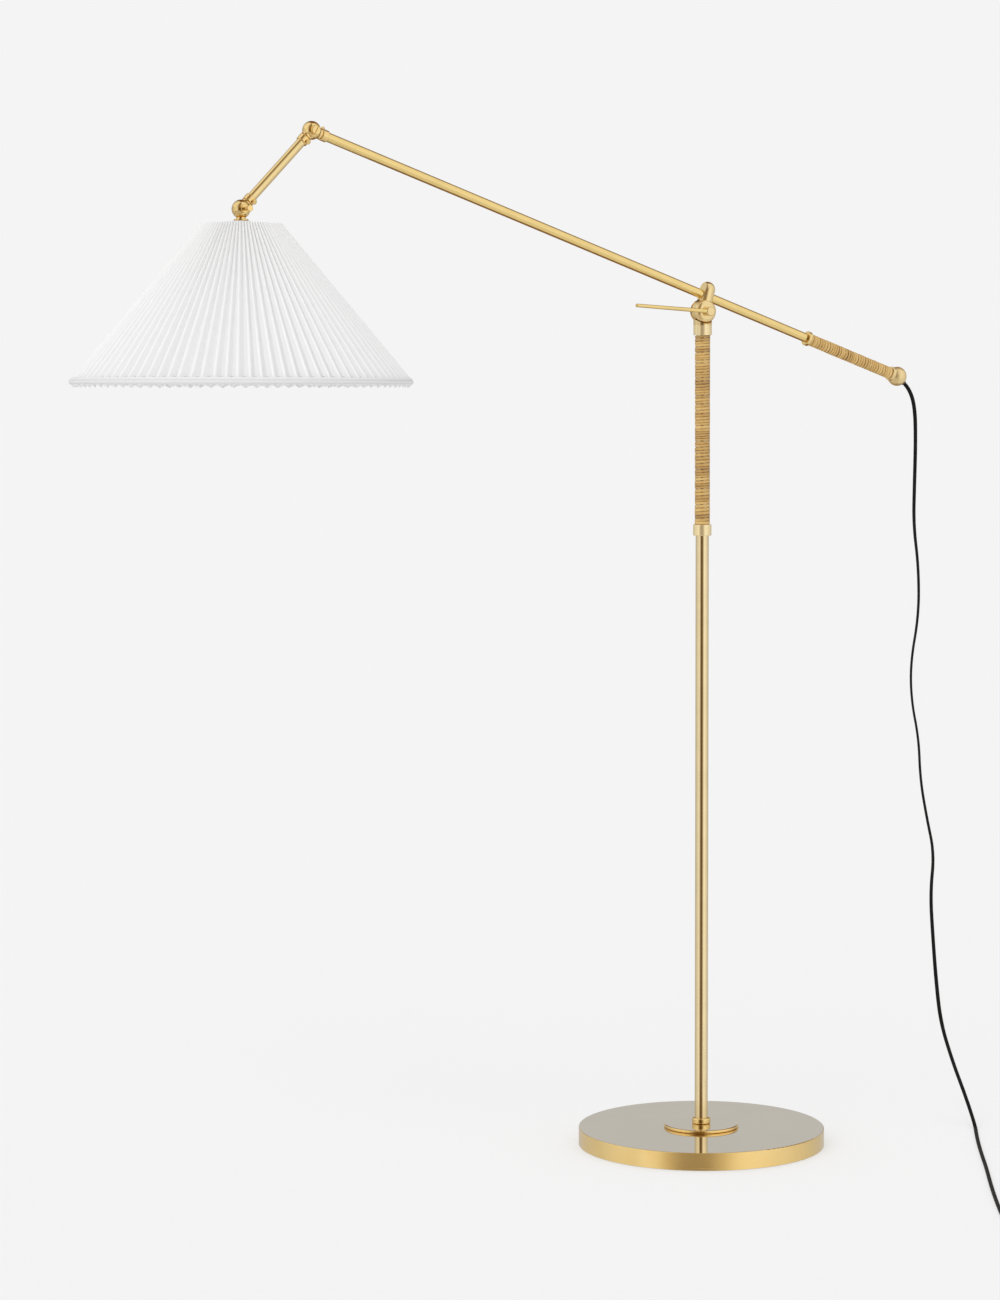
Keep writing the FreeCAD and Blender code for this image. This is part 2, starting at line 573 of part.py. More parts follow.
def cord_grommet():
    """Rubber bush in the ball's outlet, with a thin lip."""
    lip_start = GROMMET_FACE - GROMMET_LIP
    lip_radius = GROMMET_RADIUS - GROMMET_LIP / 2
    bush = turned((CORD_RADIUS, TAIL_BALL_RADIUS - GROMMET_DEPTH),
                  (GROMMET_RADIUS, TAIL_BALL_RADIUS - GROMMET_DEPTH),
                  (GROMMET_RADIUS, lip_start), (lip_radius, GROMMET_FACE),
                  (CORD_RADIUS, GROMMET_FACE))
    return placed(bush, OUTLET)


def tube_wire(start, end):
    """Lamp wire along the inside of a tube, against its lower wall."""
    drop = ARM_BORE - WIRE_RADIUS - SOFT_GAP
    return Part.makeCylinder(WIRE_RADIUS, end - start, Vec(-drop, 0, start))


def arm_parts():
    knuckle_end = ARM_NECK_REACH + SPIGOT_LENGTH + SOFT_GAP
    tube_start = ARM_TUBE_START - ELBOW_REACH
    return {
        "arm_tube": placed(sleeve(ARM_RADIUS, ARM_BORE, tube_start, TUBE_TAIL_END), ARM),
        "arm_wire": placed(tube_wire(knuckle_end - ELBOW_REACH, TUBE_TAIL_END), ARM),
        "tail_ring": placed(beaded_ring(ARM_SEAT + TAIL_RING_WALL, ARM_SEAT,
                                        TAIL_WRAP_START - TAIL_RING_LENGTH, TAIL_WRAP_START,
                                        FERRULE_EDGE), ARM),
        "tail_wrap": placed(sleeve(ARM_SEAT + TAIL_WRAP_THICKNESS, ARM_SEAT, TAIL_WRAP_START,
                                   TAIL_WRAP_END), ARM),
        "tail_ball": tail_ball(),
        "cord_grommet": cord_grommet(),
        "arm_collar": placed(tube_collar(ARM_TUBE_START, ARM_SCREW_TURN), ARM_KNUCKLE),
        "arm_thumb_screw": placed(thumb_screw(ARM_SCREW_GAP, ARM_HEAD_RADIUS, ARM_HEAD_HEIGHT),
                                  screw_frame(ARM_KNUCKLE, ARM_TUBE_START, ARM_SCREW_TURN)),
    }


# ---------------------------------------------------------------- ball knuckles
def ball_half(side, angle, shank):
    """One half of a split ball about the origin, with its screw along Y. side +1 is the
    back half and -1 the front. Its neck and spigot, the shank, point along
    direction(angle) and are scooped away where the other half turns."""
    own = (BALL_SPLIT / 2, BALL_FLAT) if side > 0 else (-BALL_FLAT, -BALL_SPLIT / 2)
    other = (-HUGE / 2, BALL_SPLIT / 2) if side > 0 else (-BALL_SPLIT / 2, HUGE / 2)
    half = Part.makeSphere(BALL_RADIUS).common(slab_y(*own))
    neck = placed(shank, axis_frame(Vec(0, 0, 0), angle))
    neck = neck.cut(Part.makeSphere(BALL_RADIUS + BALL_SCOOP).common(slab_y(*other)))
    solid = half.fuse(neck).removeSplitter()
    screw_hole = rod(BALL_SCREW_RADIUS + RUNNING_FIT, -HUGE / 4, HUGE / 4)
    wire_hole = rod(WIRE_HOLE_RADIUS, BALL_SCREW_RADIUS + SOFT_GAP, HUGE / 4)
    solid = solid.cut(placed(screw_hole, front_frame(Vec(0, 0, 0))))
    return solid.cut(placed(wire_hole, axis_frame(Vec(0, 0, 0), angle)))


def shank(neck_radius, neck_reach, spigot_radius, spigot_end):
    """Neck that ends in a shoulder, and the slimmer spigot or stem beyond it."""
    return turned((0, 0), (neck_radius, 0), (neck_radius, neck_reach),
                  (spigot_radius, neck_reach), (spigot_radius, spigot_end), (0, spigot_end))


def tube_half(side, angle, neck_reach):
    """Ball half whose neck carries a hollow spigot that turns inside a tube."""
    return ball_half(side, angle, shank(NECK_RADIUS, neck_reach, SPIGOT_RADIUS,
                                        neck_reach + SPIGOT_LENGTH))


def shade_swing_half():
    """Front half of the shade ball with the hollow threaded stem that carries the shade."""
    return ball_half(-1, 180, shank(SHADE_NECK_RADIUS, SHADE_NECK_REACH, STEM_RADIUS, STEM_END))


def elbow_screw():
    """Slotted cheese-head screw through the front half into the back half."""
    low = BALL_FLAT + WASHER_PLAY
    end = low + ELBOW_HEAD_HEIGHT
    head = domed_pin(ELBOW_HEAD_RADIUS, low, end, ELBOW_HEAD_DOME)
    screw = head.fuse(rod(BALL_SCREW_RADIUS, -BALL_FLAT, low))
    return placed(slotted(screw, ELBOW_HEAD_RADIUS, end, SLOT_WIDTH, SLOT_DEPTH), front_frame(ELBOW))


def shade_tilt_screw():
    """Long thumb screw that locks the shade's tilt: boss, slim shaft and flared head."""
    boss = BALL_FLAT + WASHER_PLAY
    shaft = boss + TILT_BOSS_HEIGHT
    head = shaft + TILT_SHAFT_LENGTH
    end = head + TILT_HEAD_LENGTH
    screw = turned((0, -BALL_FLAT), (BALL_SCREW_RADIUS, -BALL_FLAT), (BALL_SCREW_RADIUS, boss),
                   (TILT_BOSS_RADIUS, boss), (TILT_BOSS_RADIUS, shaft - THUMB_EDGE),
                   (TILT_BOSS_RADIUS - THUMB_EDGE, shaft, THUMB_EDGE), (TILT_SHAFT_RADIUS, shaft),
                   (TILT_SHAFT_RADIUS, head), (TILT_HEAD_RADIUS - THUMB_WAIST, head),
                   (TILT_HEAD_RADIUS, end - THUMB_EDGE),
                   (TILT_HEAD_RADIUS - THUMB_EDGE, end, THUMB_EDGE), (0, end))
    return placed(screw, SHADE_FIXED.multiply(front_frame(Vec(0, 0, 0))))


def screw_frame(knuckle, tube_start, turn):
    """Frame on a tube's axis at the middle of its collar. +Z is the thumb screw's
    direction, turned about the tube from its -X side towards the lamp's back."""
    place = FreeCAD.Placement(Vec(0, 0, tube_start + COLLAR_LENGTH / 2),
                              FreeCAD.Rotation(Vec(0, 0, 1), -turn))
    sideways = FreeCAD.Placement(Vec(0, 0, 0), FreeCAD.Rotation(Vec(0, 1, 0), -90))
    return knuckle.multiply(place).multiply(sideways)


def tube_collar(tube_start, turn):
    """Collar over a tube's end, with its thumb screw's hole through one side."""
    ring = beaded_ring(COLLAR_RADIUS, ARM_SEAT, tube_start, tube_start + COLLAR_LENGTH, COLLAR_EDGE)
    hole = rod(THUMB_SHAFT_RADIUS + RUNNING_FIT, 0, 2 * COLLAR_RADIUS)
    return ring.cut(placed(hole, screw_frame(FreeCAD.Placement(), tube_start, turn)))


def thumb_screw(gap, head_radius, head_height):
    """Screw along +Z from the tube's surface, with a flared, round-edged head."""
    foot = COLLAR_RADIUS + gap
    end = foot + head_height
    return turned((0, ARM_SEAT), (THUMB_SHAFT_RADIUS, ARM_SEAT), (THUMB_SHAFT_RADIUS, foot),
                  (head_radius - THUMB_WAIST, foot), (head_radius, end - THUMB_EDGE),
                  (head_radius - THUMB_EDGE, end, THUMB_EDGE), (0, end))


def short_arm_parts():
    wire_inset = SHORT_NECK_REACH + SPIGOT_LENGTH + SOFT_GAP
    elbow = FreeCAD.Placement(ELBOW, FreeCAD.Rotation())
    screw = thumb_screw(SHORT_SCREW_GAP, SHORT_HEAD_RADIUS, SHORT_HEAD_HEIGHT)
    shade_end = axis_frame(SHADE_BALL, SHORTWARD + 180)
    lower_turn = 180 - SHORT_SCREW_TURN
    return {
        "elbow_fixed_half": placed(tube_half(1, TAILWARD, ARM_NECK_REACH), elbow),
        "elbow_swing_half": placed(tube_half(-1, SHORTWARD, SHORT_NECK_REACH), elbow),
        "elbow_screw": elbow_screw(),
        "short_arm_tube": placed(sleeve(ARM_RADIUS, ARM_BORE, SHORT_TUBE_START,
                                        SHORT_ARM - SHORT_TUBE_START), SHORT),
        "short_arm_wire": placed(tube_wire(wire_inset, SHORT_ARM - wire_inset), SHORT),
        "short_upper_collar": placed(tube_collar(SHORT_TUBE_START, -SHORT_SCREW_TURN), SHORT),
        "short_lower_collar": placed(tube_collar(SHORT_TUBE_START, -lower_turn), shade_end),
        "upper_thumb_screw": placed(screw, screw_frame(SHORT, SHORT_TUBE_START,
                                                       -SHORT_SCREW_TURN)),
        "lower_thumb_screw": placed(screw, screw_frame(shade_end, SHORT_TUBE_START, -lower_turn)),
        "shade_fixed_half": placed(tube_half(1, SHORTWARD + 180, SHORT_NECK_REACH), SHADE_FIXED),
        "shade_swing_half": placed(shade_swing_half(), SHADE_SWUNG),
        "shade_tilt_screw": shade_tilt_screw(),
    }


# ---------------------------------------------------------------- shade
def shade_cloth():
    """Cone of pleated cloth, from the tips of the pleats to their roots, with a round hem."""
    bottom = SHADE_PLACE + SHADE_HEIGHT
    return turned((SHADE_TOP_RADIUS - PLEAT_DEPTH_TOP, SHADE_PLACE), (SHADE_TOP_RADIUS, SHADE_PLACE),
                  (SHADE_BOTTOM_RADIUS, bottom - SHADE_HEM),
                  (SHADE_BOTTOM_RADIUS - SHADE_HEM, bottom, SHADE_HEM),
                  (SHADE_BOTTOM_RADIUS - PLEAT_DEPTH_BOTTOM, bottom))


def ring_radius(drop):
    """Radius of a wire ring just inside the cloth, at a depth below its upper edge."""
    top = SHADE_TOP_RADIUS - PLEAT_DEPTH_TOP
    slope = (SHADE_BOTTOM_RADIUS - PLEAT_DEPTH_BOTTOM - top) / SHADE_HEIGHT
    across = (RING_WIRE_RADIUS + SOFT_GAP) * math.sqrt(1 + slope ** 2)
    return top + slope * drop - across


def wire_ring(drop):
    return Part.makeTorus(ring_radius(drop), RING_WIRE_RADIUS, Vec(0, 0, SHADE_PLACE + drop))


def shade_spider():
    """Carrier of the shade: hub, sloping arms and upper wire ring, welded together."""
    spider = sleeve(SPIDER_HUB_RADIUS, STEM_BORE, SPIDER_PLACE, SOCKET_PLACE)
    spider = spider.fuse(wire_ring(TOP_RING_DEPTH))
    start = Vec((STEM_BORE + SPIDER_HUB_RADIUS) / 2, 0, (SPIDER_PLACE + SOCKET_PLACE) / 2)
    arm = bar_between(SPIDER_ARM_RADIUS, start, Vec(ring_radius(TOP_RING_DEPTH), 0, TOP_RING_PLACE))
    for index in range(SPIDER_ARMS):
        turn = FreeCAD.Rotation(Vec(0, 0, 1), SPIDER_ARM_TURN + 360.0 * index / SPIDER_ARMS)
        spider = spider.fuse(placed(arm, FreeCAD.Placement(Vec(0, 0, 0), turn)))
    return spider.removeSplitter()


def shade_cap():
    """Small turned plate above the shade, with a boss that seats on the ball's neck."""
    plate = beaded_ring(SHADE_CAP_RADIUS, STEM_BORE, SHADE_CAP_PLACE, SPIDER_PLACE, SHADE_CAP_EDGE)
    boss = sleeve(SHADE_NECK_RADIUS, STEM_BORE, SHADE_NECK_REACH, SHADE_CAP_PLACE)
    return plate.fuse(boss).removeSplitter()


# ---------------------------------------------------------------- lampholder and lamp
def socket_cap():
    """Domed upper half of the lampholder, which screws on the stem."""
    throat = STEM_BORE + SOCKET_THROAT_WALL
    shoulder = SOCKET_PLACE + SOCKET_THROAT_HEIGHT
    return turned((STEM_BORE, SOCKET_PLACE), (throat, SOCKET_PLACE), (throat, shoulder),
                  (SOCKET_RADIUS, SHELL_PLACE, -SOCKET_DOME_RADIUS),
                  (SOCKET_RADIUS - SOCKET_WALL, SHELL_PLACE),
                  (throat, shoulder + SOCKET_WALL, SOCKET_DOME_RADIUS - SOCKET_WALL),
                  (throat, STEM_END), (STEM_BORE, STEM_END))


def socket_shell():
    """Lower half of the lampholder: an open cylinder with a rolled bead and a knob hole."""
    inner = SOCKET_RADIUS - SOCKET_WALL
    body = sleeve(SOCKET_RADIUS, inner, SHELL_PLACE, SHELL_PLACE + SOCKET_SHELL_HEIGHT)
    bead = beaded_ring(SOCKET_RADIUS + SOCKET_BEAD, inner, SHELL_PLACE,
                       SHELL_PLACE + SOCKET_BEAD_HEIGHT, SOCKET_BEAD)
    shell = placed(body.fuse(bead).removeSplitter(), HANGER)
    return shell.cut(placed(rod(KNOB_STEM_RADIUS + RUNNING_FIT, 0, HUGE / 4), KNOB))


def socket_liner():
    """Insulating sleeve inside the shell."""
    tube = sleeve(LINER_RADIUS, LINER_RADIUS - LINER_WALL, SHELL_PLACE + LINER_INSET,
                  SHELL_PLACE + SOCKET_SHELL_HEIGHT - LINER_INSET)
    return placed(tube, HANGER).cut(placed(rod(KNOB_STEM_RADIUS + SOFT_GAP, 0, HUGE / 4), KNOB))


def socket_block():
    """Moulded switch block that carries the contact, the screw shell and the knob's stem."""
    block = placed(rod(LINER_RADIUS - LINER_WALL - SEAT_FIT, BLOCK_PLACE, CONTACT_PLACE), HANGER)
    stem_hole = rod(KNOB_STEM_RADIUS + RUNNING_FIT, KNOB_STEM_START - SOFT_GAP, HUGE / 4)
    return block.cut(placed(stem_hole, KNOB))


def socket_thread():
    """Screw shell that the lamp's cap turns into, open round the contact."""
    inner = SCREW_SHELL_RADIUS - SCREW_SHELL_WALL
    floor = CONTACT_PLACE + SCREW_SHELL_WALL
    return turned((CONTACT_RADIUS + 1, CONTACT_PLACE), (SCREW_SHELL_RADIUS, CONTACT_PLACE),
                  (SCREW_SHELL_RADIUS, CONTACT_PLACE + SCREW_SHELL_HEIGHT),
                  (inner, CONTACT_PLACE + SCREW_SHELL_HEIGHT), (inner, floor),
                  (CONTACT_RADIUS + 1, floor))


def switch_knob():
    """Fluted turn knob on the switch's stem."""
    face = SOCKET_RADIUS + KNOB_STEM_GAP
    knob = domed_pin(KNOB_RADIUS, face, face + KNOB_LENGTH, KNOB_EDGE)
    for index in range(KNOB_FLUTES):
        turn = 2 * math.pi * index / KNOB_FLUTES
        away = KNOB_RADIUS + KNOB_FLUTE_RADIUS - KNOB_FLUTE_DEPTH
        foot = Vec(away * math.cos(turn), away * math.sin(turn), face + KNOB_SKIRT)
        knob = knob.cut(Part.makeCylinder(KNOB_FLUTE_RADIUS, KNOB_LENGTH, foot))
    return placed(knob.fuse(rod(KNOB_STEM_RADIUS, KNOB_STEM_START, face)).removeSplitter(), KNOB)


def lamp_cap():
    """Screw cap with its contact button and insulating end."""
    skirt = LAMP_PLACE + LAMP_CAP_HEIGHT
    inner = LAMP_CAP_RADIUS - LAMP_CAP_WALL
    button = LAMP_PLACE + LAMP_BUTTON_HEIGHT
    insulator = button + LAMP_INSULATOR_HEIGHT
    return turned((0, LAMP_PLACE), (LAMP_BUTTON_RADIUS, LAMP_PLACE), (LAMP_BUTTON_RADIUS, button),
                  (LAMP_CAP_RADIUS, insulator), (LAMP_CAP_RADIUS, skirt), (inner, skirt),
                  (inner, insulator), (0, insulator))


def lamp_glass():
    """Pear-shaped envelope, open where it is cemented in the cap. The neck, a hollow
    shoulder arc and the ball run into each other without a corner."""
    start = LAMP_PLACE + LAMP_CAP_HEIGHT - LAMP_GLASS_SEAT
    neck = LAMP_CAP_RADIUS - LAMP_CAP_WALL - SEAT_FIT
    middle = LAMP_PLACE + LAMP_LENGTH - LAMP_BULB_RADIUS
    reach = LAMP_BULB_RADIUS + LAMP_SHOULDER_RADIUS
    aside = neck + LAMP_SHOULDER_RADIUS
    rise = math.sqrt(reach ** 2 - aside ** 2)

    def touch(radius):
        return radius * aside / reach, middle - radius * rise / reach

    inner = LAMP_BULB_RADIUS - LAMP_GLASS_WALL
    shoulder_start = middle - rise
    outer_touch = touch(LAMP_BULB_RADIUS)
    inner_touch = touch(inner)
    return turned((neck - LAMP_GLASS_WALL, start), (neck, start), (neck, shoulder_start),
                  (*outer_touch, -LAMP_SHOULDER_RADIUS), (LAMP_BULB_RADIUS, middle, LAMP_BULB_RADIUS),
                  (0, middle + LAMP_BULB_RADIUS, LAMP_BULB_RADIUS), (0, middle + inner),
                  (inner, middle, -inner), (*inner_touch, -inner),
                  (neck - LAMP_GLASS_WALL, shoulder_start, LAMP_SHOULDER_RADIUS + LAMP_GLASS_WALL))


def shade_parts():
    contact = domed_pin(CONTACT_RADIUS, CONTACT_PLACE, CONTACT_PLACE + CONTACT_HEIGHT, CONTACT_DOME)
    hanging = {
        "shade_cap": shade_cap(),
        "shade_spider": shade_spider(),
        "shade_bottom_ring": wire_ring(SHADE_HEIGHT - BOTTOM_RING_HEIGHT),
        "shade_cloth": shade_cloth(),
        "socket_cap": socket_cap(),
        "socket_contact": contact,
        "socket_thread": socket_thread(),
        "lamp_cap": lamp_cap(),
        "lamp_glass": lamp_glass(),
    }
    parts = {name: placed(shape, HANGER) for name, shape in hanging.items()}
    parts["socket_shell"] = socket_shell()
    parts["socket_liner"] = socket_liner()
    parts["socket_block"] = socket_block()
    parts["switch_knob"] = switch_knob()
    return parts


# ---------------------------------------------------------------- cord
def hanging_route():
    """Corner points of the lead: out of the grommet, down to the floor, along it and
    into the coil."""
    outward = direction(90 + CORD_OUTLET_SLOPE)
    leave = TAIL_CENTRE + outward * GROMMET_FACE
    floor = CORD_RADIUS
    return [leave, leave + outward * 12,
            Vec(309.2, 0, 894), Vec(310.3, 0, 850), Vec(309.0, 0, 800), Vec(308.0, 0, 750),
            Vec(316.0, 0, 697), Vec(317.0, 0, 637), Vec(305.0, 0, 578), Vec(306.5, 0, 530),
            Vec(318.2, 0, 481), Vec(320.8, 0, 430), Vec(331.2, 0, 380), Vec(343.0, 0, 334),
            Vec(337.4, 0, 284), Vec(342.0, 0, 226), Vec(347.4, 0, 170), Vec(352.6, -3, 118),
            Vec(359.5, -20, 70), Vec(359.0, -51, 29), Vec(348.6, -85, floor),
            Vec(326.0, -119, floor), Vec(297.5, -163, floor), Vec(261.5, -221, floor),
            Vec(226.0, -280, floor), Vec(189.5, -338, floor), Vec(152.5, -398, floor),
            Vec(118.0, -456, floor), Vec(97.0, -496, floor), Vec(89.6, -524.5, floor),
            Vec(95.5, -547.4, floor), Vec(102.3, -568.3, floor)]


def tail_route():
    """Corner points of the free end, from the coil to the plug."""
    floor = CORD_RADIUS
    return [Vec(112.2, -581.9, floor), Vec(130.0, -594.8, floor), Vec(150.4, -603.0, floor),
            Vec(170.1, -606.5, floor)]


def run_arc_path(points):
    """Straight runs joined by tangent arcs, each as large as its shorter run allows."""
    edges = []
    radii = []
    start = points[0]
    for before, corner, after in zip(points, points[1:], points[2:]):
        into = corner - before
        away = after - corner
        reach = 0.45 * min(into.Length, away.Length)
        half_turn = into.getAngle(away) / 2
        radii.append(reach / math.tan(half_turn))
        into.normalize()
        away.normalize()
        inward = (away - into).normalize()
        centre = corner + inward * (radii[-1] / math.cos(half_turn))
        arc = Part.Arc(corner - into * reach, centre - inward * radii[-1], corner + away * reach)
        edges.append(Part.LineSegment(start, corner - into * reach).toShape())
        edges.append(arc.toShape())
        start = corner + away * reach
    edges.append(Part.LineSegment(start, points[-1]).toShape())
    return Part.Wire(edges), radii


def cord_tube(name, points):
    """Plain round tube along a route. Prints its radii and compares its volume."""
    path, radii = run_arc_path(points)
    section = Part.Wire(Part.makeCircle(CORD_RADIUS, points[0], points[1] - points[0]))
    tube = path.makePipeShell([section], True, False)
    share = tube.Volume / (math.pi * CORD_RADIUS ** 2 * path.Length)
    print(name, "%.1f mm long, volume %.4f of section x length, radii in mm:" % (path.Length, share),
          " ".join("%.0f" % radius for radius in radii))
    return tube


def cord_coil():
    """Outer shape of the wound turns: a ring with rounded edges."""
    inner = COIL_RADIUS - COIL_BUILD / 2
    outer = COIL_RADIUS + COIL_BUILD / 2
    ring = turned((inner + COIL_EDGE, COIL_LIFT, COIL_EDGE), (outer - COIL_EDGE, COIL_LIFT),
                  (outer, COIL_LIFT + COIL_EDGE, COIL_EDGE), (outer, COIL_HEIGHT - COIL_EDGE),
                  (outer - COIL_EDGE, COIL_HEIGHT, COIL_EDGE), (inner + COIL_EDGE, COIL_HEIGHT),
                  (inner, COIL_HEIGHT - COIL_EDGE, COIL_EDGE), (inner, COIL_LIFT + COIL_EDGE))
    return ring.translated(COIL_CENTRE)


def blades(margin):
    """Both blades in the plug's frame, each grown by a margin."""
    pair = []
    for side in (-1, 1):
        low = Vec(PLUG_LENGTH - BLADE_SEAT, side * BLADE_SPACING / 2 - BLADE_THICKNESS / 2,
                  PLUG_HEIGHT / 2 - BLADE_WIDTH / 2)
        grow = Vec(margin, margin, margin)
        blade = Part.makeBox(BLADE_LENGTH + BLADE_SEAT + 2 * margin, BLADE_THICKNESS + 2 * margin,
                             BLADE_WIDTH + 2 * margin, low - grow)
        tip = [edge for edge in blade.Edges
               if edge.BoundBox.XMin > PLUG_LENGTH and edge.BoundBox.YLength > BLADE_THICKNESS / 2]
        pair.append(blade.makeFillet(BLADE_TIP, tip))
    return pair


def plug_body():
    """Flat two-pole plug: narrow at the cord, waisted in plan, full at the blades."""
    half = PLUG_WIDTH / 2
    nose = CORD_RADIUS + PLUG_NOSE_WALL
    plan = [Vec(0, -nose, 0), Vec(PLUG_TAPER_START, -nose, 0), Vec(PLUG_TAPER_END, -half, 0),
            Vec(PLUG_LENGTH, -half, 0), Vec(PLUG_LENGTH, half, 0), Vec(PLUG_TAPER_END, half, 0),
            Vec(PLUG_TAPER_START, nose, 0), Vec(0, nose, 0), Vec(0, -nose, 0)]
    side = [Vec(0, -half, 0), Vec(PLUG_LENGTH, -half, 0), Vec(PLUG_LENGTH, -half, PLUG_HEIGHT),
            Vec(PLUG_TAPER_END, -half, PLUG_HEIGHT), Vec(PLUG_TAPER_START, -half, 2 * nose),
            Vec(0, -half, 2 * nose), Vec(0, -half, 0)]
    body = Part.Face(Part.makePolygon(plan)).extrude(Vec(0, 0, PLUG_HEIGHT))
    body = body.common(Part.Face(Part.makePolygon(side)).extrude(Vec(0, PLUG_WIDTH, 0)))
    corners = [edge for edge in body.Edges
               if edge.BoundBox.ZLength > PLUG_HEIGHT / 2 and edge.BoundBox.XMin > PLUG_TAPER_START]
    return body.makeFillet(PLUG_CORNER, corners)


def cord_parts():
    route = tail_route()
    along = route[-1] - route[-2]
    turn = math.degrees(math.atan2(along.y, along.x))
    plug = FreeCAD.Placement(Vec(route[-1].x, route[-1].y, 0), FreeCAD.Rotation(Vec(0, 0, 1), turn))
    body = plug_body()
    for blade in blades(SEAT_FIT):
        body = body.cut(blade)
    return {
        "cord_lead": cord_tube("cord_lead", hanging_route()),
        "cord_coil": cord_coil(),
        "cord_tail": cord_tube("cord_tail", route),
        "plug_body": placed(body, plug),
        "plug_blades": placed(Part.makeCompound(blades(0)), plug),
    }


# ---------------------------------------------------------------- the assembly
os.makedirs("parts", exist_ok=True)
groups = [foot_parts(), pole_parts(), clamp_parts(), arm_parts(), short_arm_parts(), shade_parts(),
          cord_parts()]
for group in groups:
    for node_name, node_shape in group.items():
        node_shape.exportStep(os.path.join("parts", node_name + ".step"))
print(sum(len(group) for group in groups), "sub-parts")
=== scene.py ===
import json
import math
import random

import bpy
from mathutils import Matrix, Vector


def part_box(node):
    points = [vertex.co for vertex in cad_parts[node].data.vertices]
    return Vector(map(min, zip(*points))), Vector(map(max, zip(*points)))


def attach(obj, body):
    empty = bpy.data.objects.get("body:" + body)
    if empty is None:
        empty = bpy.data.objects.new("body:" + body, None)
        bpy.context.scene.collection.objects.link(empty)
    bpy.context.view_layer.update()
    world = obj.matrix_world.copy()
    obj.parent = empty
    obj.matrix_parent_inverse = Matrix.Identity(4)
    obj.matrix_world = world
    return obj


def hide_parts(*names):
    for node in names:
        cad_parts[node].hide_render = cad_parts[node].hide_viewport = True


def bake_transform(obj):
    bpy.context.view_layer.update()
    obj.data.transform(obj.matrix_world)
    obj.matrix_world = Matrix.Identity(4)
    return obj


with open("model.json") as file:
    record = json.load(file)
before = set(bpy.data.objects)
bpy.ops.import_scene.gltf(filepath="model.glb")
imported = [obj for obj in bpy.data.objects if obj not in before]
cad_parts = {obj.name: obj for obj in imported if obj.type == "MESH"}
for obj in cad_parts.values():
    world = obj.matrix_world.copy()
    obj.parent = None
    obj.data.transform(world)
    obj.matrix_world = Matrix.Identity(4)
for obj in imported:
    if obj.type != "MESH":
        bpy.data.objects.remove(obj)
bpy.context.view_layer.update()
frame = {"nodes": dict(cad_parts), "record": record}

scene = bpy.context.scene
MM = 0.001
JOINTS = {joint["name"]: joint for joint in frame["record"]["behaviour"]["joints"]}
ARM_WAY = Vector(JOINTS["elbow_roll"]["axis"])           # along the long arm, to its tail
SHORT_WAY = Vector(JOINTS["short_arm_roll"]["axis"])     # along the short arm, to the shade
ARM_SLOPE = math.asin(-ARM_WAY.z)
SHORT_SLOPE = math.asin(-SHORT_WAY.z)

# ---------------------------------------------------------------- camera
CAMERA_PLACE = Vector((-2.489, -4.061, 1.062))
CAMERA_TURN = math.radians(-28.56)
CAMERA_DOWN = math.radians(5.444)
CAMERA_ROLL = math.radians(-0.175)
LENS = 109.27
SENSOR_WIDTH = 36
CLIP_START = 0.05
CLIP_END = 400
ACROSS = Vector((math.cos(CAMERA_TURN), math.sin(CAMERA_TURN), 0))    # level, across the view


def make_camera():
    forward = Vector((-math.sin(CAMERA_TURN) * math.cos(CAMERA_DOWN),
                      math.cos(CAMERA_TURN) * math.cos(CAMERA_DOWN), -math.sin(CAMERA_DOWN)))
    raised = ACROSS.cross(forward)
    right = ACROSS * math.cos(CAMERA_ROLL) + raised * math.sin(CAMERA_ROLL)
    up = raised * math.cos(CAMERA_ROLL) - ACROSS * math.sin(CAMERA_ROLL)
    data = bpy.data.cameras.new("camera")
    data.lens = LENS
    data.sensor_width = SENSOR_WIDTH
    data.clip_start = CLIP_START
    data.clip_end = CLIP_END
    camera = bpy.data.objects.new("camera", data)
    scene.collection.objects.link(camera)
    turn = Matrix((right, up, -forward)).transposed().to_4x4()
    camera.matrix_world = Matrix.Translation(CAMERA_PLACE) @ turn
    scene.camera = camera


make_camera()
scene.view_settings.view_transform = "Standard"


# ---------------------------------------------------------------- node helpers
def new_material(name):
    material = bpy.data.materials.new(name)
    material.use_nodes = True
    return material, material.node_tree, material.node_tree.nodes["Principled BSDF"]


def add(tree, kind, **values):
    """A new node with its settings and sockets set by name."""
    node = tree.nodes.new(kind)
    for key, value in values.items():
        if hasattr(node, key) and key not in node.inputs:
            setattr(node, key, value)
        else:
            node.inputs[key].default_value = value
    return node


def fill(tree, socket, value):
    """Link a socket to another one, or set it to a number."""
    if isinstance(value, bpy.types.NodeSocket):
        tree.links.new(value, socket)
    else:
        socket.default_value = value


def maths(tree, operation, *values):
    node = add(tree, "ShaderNodeMath", operation=operation)
    for socket, value in zip(node.inputs, values):
        fill(tree, socket, value)
    return node.outputs[0]


def mix(tree, kind, share, first, second):
    """Blend two values, kind FLOAT, or two colours, kind RGBA: each kind has its own sockets."""
    node = add(tree, "ShaderNodeMix", data_type=kind)
    first_socket, second_socket, result = {"FLOAT": (2, 3, 0), "RGBA": (6, 7, 2)}[kind]
    tree.links.new(share, node.inputs[0])
    tree.links.new(first, node.inputs[first_socket])
    tree.links.new(second, node.inputs[second_socket])
    return node.outputs[result]


def mix_shaders(tree, share, first, second):
    node = add(tree, "ShaderNodeMixShader")
    fill(tree, node.inputs[0], share)
    tree.links.new(first, node.inputs[1])
    tree.links.new(second, node.inputs[2])
    return node.outputs[0]


def object_point(tree, scale=(1, 1, 1), turn=(0, 0, 0)):
    """Place on the object in metres, turned and then scaled."""
    place = add(tree, "ShaderNodeTexCoord")
    mapping = add(tree, "ShaderNodeMapping", Rotation=turn, Scale=scale)
    tree.links.new(place.outputs["Object"], mapping.inputs["Vector"])
    return mapping.outputs["Vector"]


